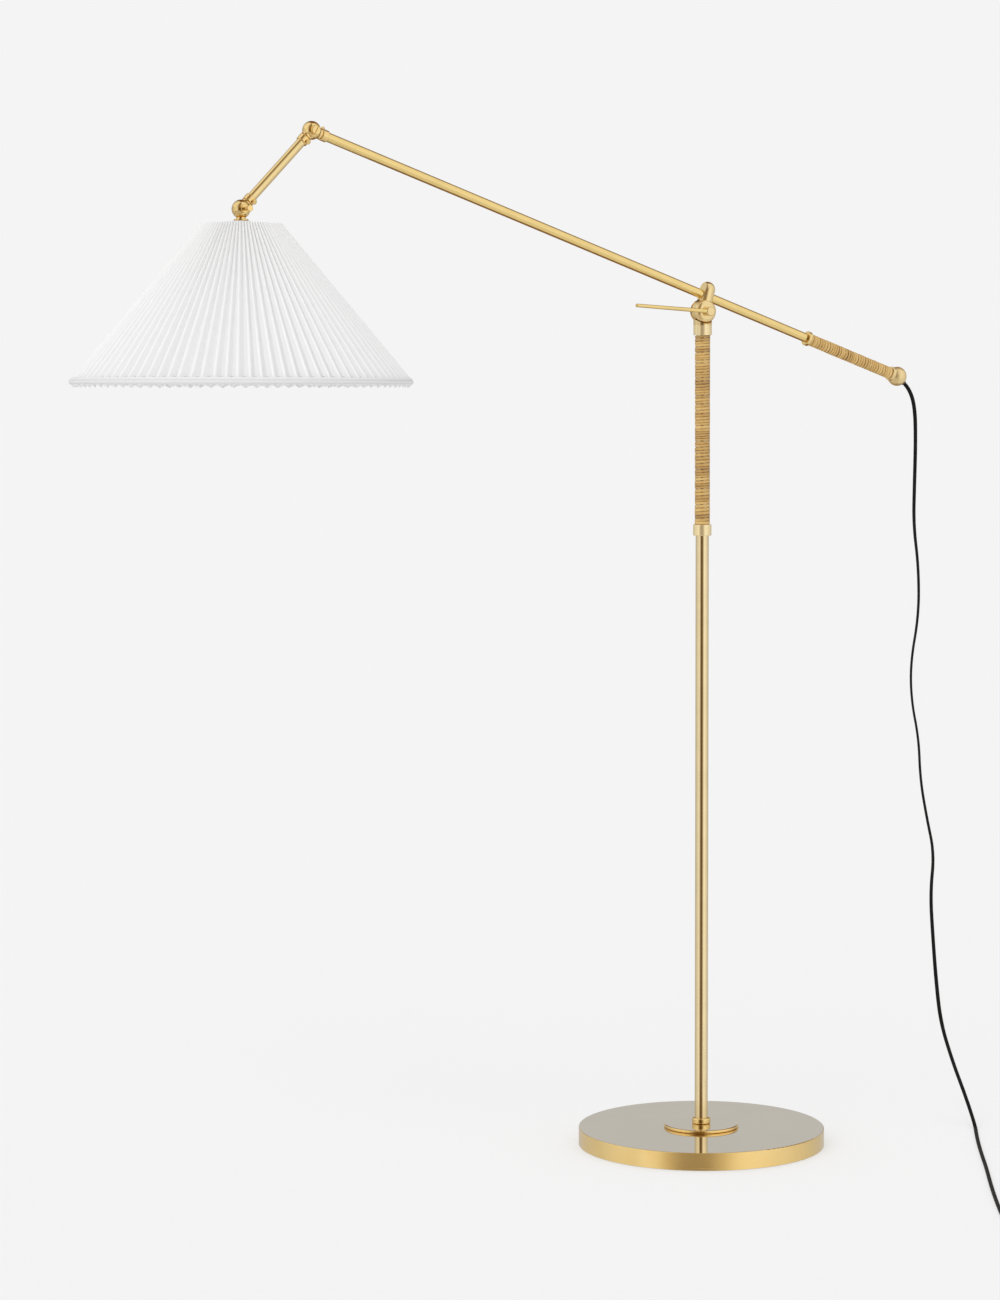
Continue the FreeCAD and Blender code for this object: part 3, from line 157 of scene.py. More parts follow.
def noise(tree, vector, scale, detail=4.0, rough=0.6):
    node = add(tree, "ShaderNodeTexNoise", Scale=scale, Detail=detail, Roughness=rough)
    tree.links.new(vector, node.inputs["Vector"])
    return node.outputs["Fac"]


def spread(tree, value, low, high, start=0.3, end=0.7):
    """Value's start..end range laid over low..high."""
    node = add(tree, "ShaderNodeMapRange")
    node.inputs["From Min"].default_value = start
    node.inputs["From Max"].default_value = end
    node.inputs["To Min"].default_value = low
    node.inputs["To Max"].default_value = high
    tree.links.new(value, node.inputs["Value"])
    return node.outputs["Result"]


def ramp(tree, value, *stops):
    """A colour for each value, blended between stops of (value, colour)."""
    node = add(tree, "ShaderNodeValToRGB")
    while len(node.color_ramp.elements) < len(stops):
        node.color_ramp.elements.new(0.5)
    for element, (place, colour) in zip(node.color_ramp.elements, stops):
        element.position = place
        element.color = (*colour, 1)
    tree.links.new(value, node.inputs["Fac"])
    return node.outputs["Color"]


def bump(tree, bsdf, height, strength, distance, base=None):
    node = add(tree, "ShaderNodeBump", Strength=strength, Distance=distance)
    tree.links.new(height, node.inputs["Height"])
    if base is not None:
        tree.links.new(base, node.inputs["Normal"])
    tree.links.new(node.outputs["Normal"], bsdf.inputs["Normal"])
    return node.outputs["Normal"]


def darker(colour, factor):
    return tuple(part * factor for part in colour)


def grey(value):
    return (value, value, value)


# ---------------------------------------------------------------- materials
GRAIN_HEIGHT = 0.2 * MM        # of the fine lines and grains
FIBRE_HEIGHT = 0.3 * MM
PIT_HEIGHT = 0.6 * MM
TARNISH_SCALE = 38.0           # of the noise, per metre, as are those below
SPECK_SCALE = 900.0
PIT_SCALE = 620.0
FINE = 1700.0                  # across drawn lines
LONG = 14.0                    # along them
EVEN = (400, 400, 400)         # the same every way


def brass(name, colour, rough, grain, turn=(0, 0, 0), grain_depth=0.0, pit_depth=0.0,
          metallic=1.0):
    """Brass with fine lines along the least scaled axis, faint tarnish, and pits if cast."""
    material, tree, bsdf = new_material(name)
    bsdf.inputs["Metallic"].default_value = metallic
    lines = noise(tree, object_point(tree, grain, turn), 1.0)
    tarnish = noise(tree, object_point(tree), TARNISH_SCALE, detail=5.0)
    specks = noise(tree, object_point(tree), SPECK_SCALE, detail=2.0, rough=0.5)
    tree.links.new(ramp(tree, tarnish, (0.3, darker(colour, 0.93)), (0.62, colour)),
                   bsdf.inputs["Base Color"])
    uneven = maths(tree, "ADD", spread(tree, lines, rough * 0.75, rough * 1.1),
                   spread(tree, specks, 0, rough * 0.25))
    tree.links.new(uneven, bsdf.inputs["Roughness"])
    normal = None
    if pit_depth:
        pits = noise(tree, object_point(tree), PIT_SCALE, detail=5.0, rough=0.65)
        normal = bump(tree, bsdf, pits, pit_depth, PIT_HEIGHT)
    if grain_depth:
        bump(tree, bsdf, lines, grain_depth, GRAIN_HEIGHT, normal)
    return material


def foot_material(name, side_low, side_high, side_rough, side_metal):
    """Brushed round its side and polished on top, under a clear lacquer; the top's paler colour
    is a painted reflection.
    """
    material, tree, bsdf = new_material(name)
    bsdf.inputs["Coat Weight"].default_value = 0.5
    bsdf.inputs["Coat Roughness"].default_value = 0.04
    facing = add(tree, "ShaderNodeNewGeometry")
    split = add(tree, "ShaderNodeSeparateXYZ")
    tree.links.new(facing.outputs["Normal"], split.inputs[0])
    top = spread(tree, split.outputs["Z"], 0, 1, 0.86, 0.95)
    lines = noise(tree, object_point(tree, (9, 9, 2600)), 1.0, detail=5.0)
    cloud = noise(tree, object_point(tree), 16.0, detail=5.0)
    side_colour = ramp(tree, cloud, (0.3, side_low), (0.65, side_high))
    # painted reflection: the top gets a paler colour than the side
    top_painted_reflection = ramp(tree, cloud, (0.3, (0.81, 0.72, 0.55)), (0.65, (0.85, 0.76, 0.59)))
    tree.links.new(mix(tree, "RGBA", top, side_colour, top_painted_reflection), bsdf.inputs["Base Color"])
    tree.links.new(spread(tree, top, side_metal, 1.0, 0, 1), bsdf.inputs["Metallic"])
    brushed = spread(tree, lines, side_rough * 0.8, side_rough * 1.25)
    polished = spread(tree, cloud, 0.03, 0.07)
    tree.links.new(mix(tree, "FLOAT", top, brushed, polished), bsdf.inputs["Roughness"])
    side = maths(tree, "SUBTRACT", 1.0, top)
    bump(tree, bsdf, maths(tree, "MULTIPLY", lines, side), 0.08, GRAIN_HEIGHT)
    return material


def cane_material():
    """Split cane, with painted shade darkening each turn towards its edges, fibres and a worn
    varnish.
    """
    material, tree, bsdf = new_material("cane")
    tone_and_edge_shade = add(tree, "ShaderNodeAttribute", attribute_name="tone_and_edge_shade")
    fibre = noise(tree, object_point(tree, (260, 260, 2600)), 1.0, detail=5.0, rough=0.65)
    patch = noise(tree, object_point(tree), 210.0)
    paleness = maths(tree, "MULTIPLY_ADD", patch, 0.4, tone_and_edge_shade.outputs["Fac"])
    tree.links.new(ramp(tree, paleness, (0.08, (0.20, 0.10, 0.03)), (0.4, (0.52, 0.30, 0.085)),
                        (0.7, (0.68, 0.43, 0.14)), (1.0, (0.80, 0.57, 0.23))),
                   bsdf.inputs["Base Color"])
    tree.links.new(spread(tree, fibre, 0.34, 0.6), bsdf.inputs["Roughness"])
    bsdf.inputs["Coat Weight"].default_value = 0.25
    bsdf.inputs["Coat Roughness"].default_value = 0.3
    bump(tree, bsdf, fibre, 0.35, FIBRE_HEIGHT)
    return material


def cloth_material():
    """White cotton with painted shade greying it inside its folds and in the hem tape's grooves,
    a fine weave and some light through it.
    """
    material, tree, bsdf = new_material("pleated_cotton")
    weave = noise(tree, object_point(tree, (1, 1, 0.8)), 1500.0, detail=3.0)
    fold = add(tree, "ShaderNodeAttribute", attribute_name="fold")
    # painted shade: white at the pleats' tips, greyer the deeper into a fold
    tree.links.new(ramp(tree, fold.outputs["Fac"], (0.0, grey(1.0)), (0.11, grey(0.985)),
                        (0.23, grey(0.882)), (0.68, grey(0.885)), (1.0, grey(0.45))),
                   bsdf.inputs["Base Color"])
    bsdf.inputs["Roughness"].default_value = 0.9
    bsdf.inputs["Sheen Weight"].default_value = 0.08
    bsdf.inputs["Sheen Roughness"].default_value = 0.5
    bsdf.inputs["Specular IOR Level"].default_value = 0.2
    bump(tree, bsdf, weave, 0.05, GRAIN_HEIGHT)
    through = add(tree, "ShaderNodeBsdfTranslucent", Color=(0.84, 0.84, 0.84, 1))
    cloth = mix_shaders(tree, 0.2, bsdf.outputs[0], through.outputs[0])
    tree.links.new(cloth, tree.nodes["Material Output"].inputs["Surface"])
    return material


def dull(name, dark, light, rough, grain, depth=0.2, gloss=0.5):
    """Plastic, rubber, felt, card and paint: two close colours and a fine grain."""
    material, tree, bsdf = new_material(name)
    grains = noise(tree, object_point(tree), grain)
    cloud = noise(tree, object_point(tree), 60.0)
    tree.links.new(ramp(tree, cloud, (0.3, dark), (0.7, light)), bsdf.inputs["Base Color"])
    tree.links.new(spread(tree, grains, rough * 0.85, min(1, rough * 1.15)),
                   bsdf.inputs["Roughness"])
    bsdf.inputs["Specular IOR Level"].default_value = gloss
    bump(tree, bsdf, grains, depth, GRAIN_HEIGHT)
    return material


def metal(name, dark, light, rough, grain):
    """Plain grey metal with a fine grain."""
    material, tree, bsdf = new_material(name)
    bsdf.inputs["Metallic"].default_value = 1.0
    grains = noise(tree, object_point(tree), grain)
    tree.links.new(ramp(tree, grains, (0.3, dark), (0.7, light)), bsdf.inputs["Base Color"])
    tree.links.new(spread(tree, grains, rough * 0.8, rough * 1.2), bsdf.inputs["Roughness"])
    bump(tree, bsdf, grains, 0.08, GRAIN_HEIGHT)
    return material


def glass_material():
    """Opal glass: white, smooth and glossy."""
    material, tree, bsdf = new_material("opal_glass")
    cloud = noise(tree, object_point(tree), 30.0, detail=3.0, rough=0.5)
    tree.links.new(ramp(tree, cloud, (0.3, (0.90, 0.90, 0.88)), (0.7, (0.94, 0.94, 0.93))),
                   bsdf.inputs["Base Color"])
    tree.links.new(spread(tree, cloud, 0.16, 0.24), bsdf.inputs["Roughness"])
    bsdf.inputs["Coat Weight"].default_value = 0.6
    bsdf.inputs["Coat Roughness"].default_value = 0.06
    return material


pole_brass = brass("pole_brass", (0.89, 0.725, 0.43), 0.17, (FINE, FINE, LONG), grain_depth=0.05)
arm_brass = brass("arm_brass", (0.90, 0.68, 0.28), 0.20, (LONG, FINE, FINE),
                  turn=(0, -ARM_SLOPE, 0), grain_depth=0.06)
short_brass = brass("short_brass", (0.88, 0.68, 0.33), 0.15, (LONG, FINE, FINE),
                    turn=(0, SHORT_SLOPE, 0), grain_depth=0.04)
ferrule_brass = brass("ferrule_brass", (0.93, 0.76, 0.43), 0.12, (LONG * 3, LONG * 3, FINE),
                      grain_depth=0.06, metallic=0.6)
polished_brass = brass("polished_brass", (0.90, 0.66, 0.29), 0.09, EVEN)
cast_brass = brass("cast_brass", (0.88, 0.68, 0.34), 0.15, (500, 500, 500), pit_depth=0.15,
                   metallic=0.9)
ball_brass = brass("ball_brass", (0.92, 0.72, 0.38), 0.38, EVEN, metallic=0.85)
blade_brass = brass("blade_brass", (0.88, 0.72, 0.42), 0.22, (60, 60, 900), grain_depth=0.05)
foot_brass = foot_material("foot_brass", (0.87, 0.60, 0.21), (0.92, 0.67, 0.27), 0.22, 0.77)
flange_brass = foot_material("flange_brass", (0.88, 0.60, 0.22), (0.92, 0.64, 0.25), 0.07, 1.0)
cane = cane_material()
cotton = cloth_material()
felt = dull("felt", (0.045, 0.045, 0.05), (0.075, 0.075, 0.08), 0.95, 1400.0, depth=0.5)
rubber = dull("cord_rubber", grey(0.006), grey(0.011), 0.5, 700.0, depth=0.1, gloss=0.14)
plastic = dull("black_plastic", grey(0.010), grey(0.018), 0.36, 1100.0, depth=0.12, gloss=0.3)
card = dull("liner_card", (0.36, 0.27, 0.17), (0.46, 0.36, 0.24), 0.9, 700.0, depth=0.3)
wire_paint = dull("wire_paint", (0.76, 0.76, 0.75), (0.82, 0.82, 0.81), 0.45, 900.0, depth=0.1)
iron = metal("cast_weight", (0.12, 0.12, 0.125), (0.2, 0.2, 0.205), 0.6, 300.0)
steel = metal("steel", (0.5, 0.5, 0.51), (0.6, 0.6, 0.61), 0.32, 500.0)
aluminium = metal("lamp_aluminium", (0.68, 0.68, 0.69), (0.77, 0.77, 0.78), 0.3, 600.0)
opal = glass_material()

FINISHES = {
    felt: ["foot_pad"],
    iron: ["foot_weight"],
    foot_brass: ["foot_cover"],
    flange_brass: ["foot_flange"],
    ball_brass: ["tail_ball"],
    polished_brass: ["foot_collar", "elbow_fixed_half", "elbow_swing_half", "elbow_screw",
                     "shade_fixed_half", "shade_swing_half", "shade_cap", "shade_tilt_screw",
                     "arm_thumb_screw", "upper_thumb_screw", "lower_thumb_screw",
                     "short_upper_collar", "short_lower_collar", "arm_collar", "tail_ring",
                     "pivot_bolt"],
    pole_brass: ["pole_tube"],
    arm_brass: ["arm_tube", "lever_rod"],
    short_brass: ["short_arm_tube"],
    ferrule_brass: ["lower_ferrule", "upper_ferrule", "socket_cap", "socket_shell"],
    cast_brass: ["knuckle_fixed_half", "clamp_head", "lever_hub"],
    blade_brass: ["plug_blades", "socket_contact"],
    steel: ["tie_rod", "tie_nut_and_washer", "pole_foot_plug", "pole_top_plug", "pivot_washer",
            "clamp_screw"],
    wire_paint: ["shade_spider", "shade_bottom_ring"],
    rubber: ["arm_wire", "short_arm_wire"],
    plastic: ["plug_body", "cord_grommet", "switch_knob", "socket_block"],
    card: ["socket_liner"],
    aluminium: ["lamp_cap", "socket_thread"],
    opal: ["lamp_glass"],
}
for finish, names in FINISHES.items():
    for name in names:
        node = frame["nodes"][name]
        node.data.materials.clear()
        node.data.materials.append(finish)


# ---------------------------------------------------------------- mesh helpers
def new_mesh(name, points, faces, material, smooth=True):
    mesh = bpy.data.meshes.new(name)
    mesh.from_pydata([tuple(p) for p in points], [], faces)
    mesh.validate()
    if smooth:
        mesh.shade_smooth()
    mesh.materials.append(material)
    piece = bpy.data.objects.new(name, mesh)
    scene.collection.objects.link(piece)
    return piece


def ring_faces(rings, around, closed_ends=True):
    """Quads between rings of points, and a face over each end."""
    faces = []
    for k in range(rings - 1):
        for i in range(around):
            j = (i + 1) % around
            faces.append((k * around + i, k * around + j, (k + 1) * around + j,
                          (k + 1) * around + i))
    if closed_ends:
        faces.append(tuple(reversed(range(around))))
        faces.append(tuple(range((rings - 1) * around, rings * around)))
    return faces


def paint(piece, name, values):
    """Give each point of a piece a value that its material reads."""
    attribute = piece.data.attributes.new(name, "FLOAT", "POINT")
    attribute.data.foreach_set("value", values)


def between(values, first, second, share):
    """The value on the way from one item of a list to another."""
    return values[first] * (1 - share) + values[second] * share


# ---------------------------------------------------------------- cord
CORD_WIDTH = 4.8 * MM
CORD_HALF = 1.35 * MM          # half the twin cord's thickness
CORE_POINTS = 7
CORE_ARC = 240                 # of each core outside the web, in degrees
WEB_SHARE = 0.62               # the web's thickness as a share of a core's
LIE = 1.5                      # mm, height of its middle as it lies; its route is in mm too
EXIT_PLACE = (291.829, 0, 926.096)
COIL_MIDDLE = (128.0, -560.0)
COIL_OUTER = 31.8
COIL_PITCH = 4.8
COIL_LAYER = 7.0               # height of the upper layer's middle
COIL_START = math.radians(198)
COIL_TURNS = 5.1
COIL_INWARD = 2                # turns of the lower layer
COIL_CLIMB = 0.5               # the turn between the layers
COIL_POINTS = 16               # a turn
ROUTE_STEPS = 10               # drawn between two points of the route

HANGING = [EXIT_PLACE, (301.02, 0, 918.38), (309.2, 0, 894), (310.3, 0, 850), (309, 0, 800),
           (308, 0, 750), (316, 0, 697), (317, 0, 637), (305, 0, 578), (306.5, 0, 530),
           (318.2, 0, 481), (320.8, 0, 430), (331.2, 0, 380), (343, 0, 334), (337.4, 0, 284),
           (342, 0, 226), (347.4, 0, 170), (352.6, -3, 118), (359.5, -20, 70),
           (359, -51, 29), (348.6, -85, LIE), (326, -119, LIE), (297.5, -163, LIE),
           (261.5, -221, LIE), (226, -280, LIE), (189.5, -338, LIE), (152.5, -398, LIE),
           (118, -456, LIE), (95, -496, LIE), (87.5, -524.5, LIE), (91, -547.4, LIE)]
TAIL = [(120.5, -593.2, 4.4), (134, -599.0, 2.2), (150.4, -603, 2.4), (170.1, -606.5, 2.4)]

BROADSIDE = Vector((0.878, -0.478, 0))    # the way the hanging cord is wide
TWIST_LENGTH = 0.80            # m from its exit in which it turns its edge forward and back
TWIST_MOST = 1.5               # radians
LYING = 0.02                   # m above the floor: flat below this,
RISE = 0.12                    # and broadside this much higher
UNSURE = 0.25                  # a direction shorter than this isn't used


def coil_points():
    """Two flat layers of turns, wound inwards and then outwards."""
    points = []
    back_out = COIL_INWARD * 2 + COIL_CLIMB      # turns until it is at its outer radius again
    for k in range(round(COIL_TURNS * COIL_POINTS) + 1):
        turns = k / COIL_POINTS
        if turns <= COIL_INWARD:
            radius = COIL_OUTER - COIL_PITCH * turns
            height = LIE
        elif turns <= COIL_INWARD + COIL_CLIMB:
            radius = COIL_OUTER - COIL_PITCH * COIL_INWARD
            height = LIE + (COIL_LAYER - LIE) * (turns - COIL_INWARD) / COIL_CLIMB
        else:
            radius = min(COIL_OUTER, COIL_OUTER - COIL_PITCH * (back_out - turns))
            height = COIL_LAYER
        angle = COIL_START + turns * math.tau
        points.append((COIL_MIDDLE[0] + radius * math.cos(angle),
                       COIL_MIDDLE[1] + radius * math.sin(angle), height))
    return points


def nurbs_line(points):
    """One smooth open spline through space, its ends on its end points."""
    data = bpy.data.curves.new("line", "CURVE")
    data.dimensions = "3D"
    spline = data.splines.new("NURBS")
    spline.points.add(len(points) - 1)
    for point, place in zip(spline.points, points):
        point.co = (place[0] * MM, place[1] * MM, place[2] * MM, 1)
    spline.order_u = 3
    spline.use_endpoint_u = True
    spline.resolution_u = ROUTE_STEPS
    return data


def line_points(data):
    """The points that a curve with no bevel is drawn through."""
    holder = bpy.data.objects.new("line", data)
    scene.collection.objects.link(holder)
    bpy.context.view_layer.update()
    evaluated = holder.evaluated_get(bpy.context.evaluated_depsgraph_get())
    mesh = bpy.data.meshes.new_from_object(evaluated)
    points = [v.co.copy() for v in mesh.vertices]
    bpy.data.meshes.remove(mesh)
    bpy.data.objects.remove(holder)
    return points


def twin_section():
    """Two round cores side by side, joined by a web, wide along x."""
    offset = CORD_WIDTH / 2 - CORD_HALF
    outline = []
    for side, facing in ((1, 0), (-1, 180)):
        for k in range(CORE_POINTS):
            angle = math.radians(facing + CORE_ARC * (k / (CORE_POINTS - 1) - 0.5))
            outline.append((side * offset + CORD_HALF * math.cos(angle),
                            CORD_HALF * math.sin(angle)))
        outline.append((0, side * CORD_HALF * WEB_SHARE))
    return outline


def wide_way(point, along, run):
    """The way the cord is wide: level where it lies, broadside and twisted where it hangs."""
    hanging = BROADSIDE - along * along.dot(BROADSIDE)
    lying = Vector((0, 0, 1)).cross(along)
    if lying.length < UNSURE:
        lying = hanging.copy()
    share = min(1.0, max(0.0, (point.z - LYING) / RISE))
    wide = lying.normalized() * (1 - share) + hanging.normalized() * share
    if wide.length < UNSURE:
        wide = hanging
    wide.normalize()
    twist = TWIST_MOST * math.sin(math.pi * min(1.0, run / TWIST_LENGTH))
    return Matrix.Rotation(twist, 3, along) @ wide


def make_cord():
    points = line_points(nurbs_line(HANGING + coil_points() + TAIL))
    section = twin_section()
    run = 0
    places = []
    for k, point in enumerate(points):
        along = (points[min(k + 1, len(points) - 1)] - points[max(k - 1, 0)]).normalized()
        if k:
            run += (point - points[k - 1]).length
        wide = wide_way(point, along, run)
        thin = along.cross(wide).normalized()
        places += [point + wide * x + thin * y for x, y in section]
    cord = new_mesh("mains_cord", places, ring_faces(len(points), len(section)), rubber)
    return cord, points


mains_cord, cord_points = make_cord()
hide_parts("cord_lead", "cord_coil", "cord_tail")
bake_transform(mains_cord)


# ---------------------------------------------------------------- cane winding
CANE_WIDTHS = (2.7, 3.1, 3.5, 3.9, 4.4)    # mm, one drawn for each turn
CANE_LEAST = 2.4 * MM          # no turn is begun in less length than this
CANE_THICKNESS = 1.0 * MM
CANE_SEAT = 0.5 * MM           # the turns' crowns are this far inside the sleeve's radius
CANE_COVER = 0.97              # of its pitch that a turn covers
CANE_AROUND = 40               # points a turn
CANE_SECTION = ((-0.5, 0.0), (-0.46, 0.6), (-0.3, 0.92), (0.0, 1.0), (0.3, 0.92), (0.46, 0.6),
                (0.5, 0.0))    # shares of its width and of its thickness
CANE_UNEVEN = (-0.16, 0.12)    # mm, from turn to turn
CANE_WOBBLE = 0.05 * MM        # along the tube,
CANE_WAVES = 3                 # as often as this in a turn,
CANE_SHIFT = 1.7               # and shifted by this angle from turn to turn
EDGE_SHADE_PAINTED = 0.8              # painted shade: tone lost from the crown to the edge, where turns meet


def winding(name, start, end, radius, seed, body, node, paleness):
    """Flat cane wound round a tube, each turn a little different."""
    chance = random.Random(seed)
    axis = (end - start).normalized()
    length = (end - start).length
    across = Vector((0, 1, 0))
    across = (across - axis * axis.dot(across)).normalized()
    over = axis.cross(across)
    pitches = []
    while sum(pitches) < length - CANE_LEAST:
        pitches.append(chance.choice(CANE_WIDTHS) * MM)
    scale = length / sum(pitches)
    pitches = [pitch * scale for pitch in pitches]
    tones = [chance.uniform(*paleness) for _ in pitches]
    heights = [chance.uniform(*CANE_UNEVEN) * MM for _ in pitches]
    points, tone_and_edge_shade = [], []
    place = 0.0
    for turn, pitch in enumerate(pitches):
        after = min(turn + 1, len(pitches) - 1)
        for k in range(CANE_AROUND):
            part = k / CANE_AROUND
            width = between(pitches, turn, after, part) * CANE_COVER
            middle = min(max(place + pitch * part, width / 2), length - width / 2)
            angle = part * math.tau
            wobble = math.sin(angle * CANE_WAVES + turn * CANE_SHIFT) * CANE_WOBBLE
            crown = radius - CANE_SEAT + between(heights, turn, after, part)
            out = across * math.cos(angle) + over * math.sin(angle)
            for aside, rise in CANE_SECTION:
                points.append(start + axis * (middle + aside * width + wobble)
                              + out * (crown - CANE_THICKNESS * (1 - rise)))
                # each turn's random tone, less painted shade towards its edges
                tone_and_edge_shade.append(between(tones, turn, after, part) - EDGE_SHADE_PAINTED * (1 - rise))
        place += pitch
    rings = len(pitches) * CANE_AROUND
    piece = new_mesh(name, points, ring_faces(rings, len(CANE_SECTION)), cane)
    paint(piece, "tone_and_edge_shade", tone_and_edge_shade)
    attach(piece, body)
    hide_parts(node)


def make_pole_cane():
    low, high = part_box("pole_wrap")
    winding("pole_cane", Vector((0, 0, low.z)), Vector((0, 0, high.z)), high.x, 11, "stand",
            "pole_wrap", (0.12, 0.72))


def make_tail_cane():
    low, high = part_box("tail_wrap")
    radius = high.y
    elbow = Vector(JOINTS["elbow_roll"]["pos_m"])
    aside = radius * math.sin(ARM_SLOPE)      # by which the box reaches past the sleeve's axis
    start, end = [elbow + ARM_WAY * ((x - elbow.x) / ARM_WAY.x)
                  for x in (low.x + aside, high.x - aside)]
    winding("tail_cane", start, end, radius, 23, "arm", "tail_wrap", (0.36, 0.78))


make_pole_cane()
make_tail_cane()

# ---------------------------------------------------------------- shade
SHADE_BALL = Vector(JOINTS["shade_roll"]["pos_m"])
SHADE_SWAY = math.radians(1.8)         # about the short arm
SHADE_NOD = math.radians(0.92)         # in the plane of the arm
SHADE_LEAN = math.radians(0.25)        # the cloth sits a little lower at the back
SHADE_PLACE = 15.3 * MM                # from the ball's middle down to the cloth's top
SHADE_HEIGHT = 182.2 * MM
SHADE_TOP = 45.5 * MM                  # radii of the cloth
SHADE_BOTTOM = 193.8 * MM
SHADE_HEM = 4.6 * MM
SHADE_RUN = (SHADE_BOTTOM - SHADE_TOP) / (SHADE_HEIGHT - SHADE_HEM)
SQUARE = math.hypot(1, SHADE_RUN)
SHADE_TURN = (Matrix.Rotation(-SHADE_LEAN, 3, ACROSS)
              @ Matrix.Rotation(SHADE_SWAY, 3, Vector(JOINTS["shade_roll"]["axis"]))
              @ Matrix.Rotation(SHADE_NOD, 3, "Y"))

PLEATS = 91
PLEAT_POINTS = 16                      # across a pleat
DEPTH_TOP = 2.3 * MM
DEPTH_BOTTOM = 5.2 * MM
CRISP = 0.975                          # 1 gives the folds sharp edges
CLOTH_END = 0.4 * MM                   # the pleats' tips end this much above the hem's foot
CLOTH_INSET = 0.35 * MM                # the cloth's outside lies this much inside the cone
STRAIGHT = SHADE_HEM * 1.3             # of the cloth hangs straight down inside the hem
UNEVEN = 0.06                          # of a pleat, and so are the next two
LEAN = 0.05
SWAY = 0.05
ROWS = (0, 0.012, 0.04, 0.1, 0.18, 0.27, 0.36, 0.45, 0.54, 0.63, 0.72, 0.8, 0.87, 0.92, 0.936,
        0.942, 0.952, 0.972, 0.985, 1.0)    # shares of the height
TAPE_ROWS = (0.94, 0.96)               # where a fold goes under the tape
FOLD_SHADE_LOW = 0.74                        # painted shade of a fold's root, low on the shade
FOLD_SHADE_MORE = 0.54                       # added to that at the top
FOLD_SHADE_FADE = 0.8                        # share of the height in which it fades
PINCH_SHADE = 0.5                            # more painted shade where a fold goes under the tape
UNDER_HEM_SHADE = 0.3                        # of the painted shade that stays where the tips show under the hem
BROAD_TIPS = 0.26                      # of a fold at the top left as white as its tip, a broader painted highlight

HEM_POINTS = 6                         # for each pleat
HEM_EASE = 0.12                        # mm, of the hem's unevenness
HEM_PULL = 0.13                        # mm, in and out with the pleats
# tape sewn round the edge: mm above its foot, mm out, and its painted shade, greyest in the
# stitched groove and under the roll
HEM_OUTLINE = (
    (8.3, 0.05, 0.35), (8.0, 0.30, 0.19), (6.2, 0.28, 0.17), (5.6, 0.22, 0.25),      # flat strip
    (5.1, -0.25, 0.95), (4.6, 0.22, 0.25),                                           # stitches
    (3.6, 0.42, 0.17), (2.2, 0.20, 0.19), (1.6, -0.35, 0.35), (1.15, -1.0, 0.85),    # roll
    (0.8, -1.15, 0.1), (0.2, -1.9, 0.05), (0.0, -3.2, 0.1), (0.5, -4.6, 0.5), (3.5, -5.2, 0.7))


def shade_point(radius, drop, angle):
    """A place on the shade from its radius, its depth below the ball and its angle."""
    offset = Vector((radius * math.cos(angle), radius * math.sin(angle), -drop))
    return SHADE_BALL + SHADE_TURN @ offset


def fold_depth(u):
    """0 at a pleat's tip, 1 in its root, with flat sides and slightly rounded folds."""
    return 0.5 - 0.5 * math.asin(CRISP * math.cos(math.tau * u)) / math.asin(CRISP)


def fold_painted_shade(t, sunk):
    """The painted shade of the cloth at share t of the height, where it is sunk 0 to 1 into a
    fold.
    """
    shade_share = FOLD_SHADE_LOW + FOLD_SHADE_MORE * (1 - min(1, t / FOLD_SHADE_FADE)) ** 2
    if TAPE_ROWS[0] < t < TAPE_ROWS[1]:
        shade_share += PINCH_SHADE * sunk
    if t > TAPE_ROWS[1]:
        shade_share *= UNDER_HEM_SHADE
    return shade_share * max(0.0, sunk - BROAD_TIPS * (1 - t) ** 2)


def make_pleats():
    """A fan of pleats from the shade's top to its lower edge."""
    chance = random.Random(5)
    columns = PLEATS * PLEAT_POINTS
    jitter = [chance.uniform(-UNEVEN, UNEVEN) for _ in range(PLEATS)]
    deep = [chance.uniform(0.9, 1.0) for _ in range(PLEATS)]
    lean = [chance.uniform(-LEAN, LEAN) for _ in range(PLEATS)]
    sway = [chance.uniform(-SWAY, SWAY) for _ in range(PLEATS)]
    points, folds = [], []
    for t in ROWS:
        drop = (SHADE_HEIGHT - CLOTH_END) * t
        radius = SHADE_TOP + SHADE_RUN * min(drop, SHADE_HEIGHT - STRAIGHT) - CLOTH_INSET
        depth = DEPTH_TOP + (DEPTH_BOTTOM - DEPTH_TOP) * t
        for k in range(columns):
            pleat, step = divmod(k, PLEAT_POINTS)
            after = (pleat + 1) % PLEATS
            u = step / PLEAT_POINTS
            moved = between(jitter, pleat, after, u)
            moved += math.sin(math.pi * t) * between(sway, pleat, after, u)
            moved += lean[pleat] * math.sin(math.pi * u) ** 2
            sunk = fold_depth(u)
            inward = depth * sunk * deep[pleat]
            angle = (pleat + u + moved) / PLEATS * math.tau
            points.append(shade_point(radius - inward / SQUARE,
                                      SHADE_PLACE + drop + inward * SHADE_RUN / SQUARE, angle))
            # painted shade in the folds, read by the cloth's material
            folds.append(fold_painted_shade(t, sunk))
    faces = []
    for row in range(len(ROWS) - 1):
        for k in range(columns):
            n = (k + 1) % columns
            faces.append((row * columns + k, (row + 1) * columns + k, (row + 1) * columns + n,
                          row * columns + n))
    pleats = new_mesh("shade_pleats", points, faces, cotton)
    paint(pleats, "fold", folds)
    return pleats


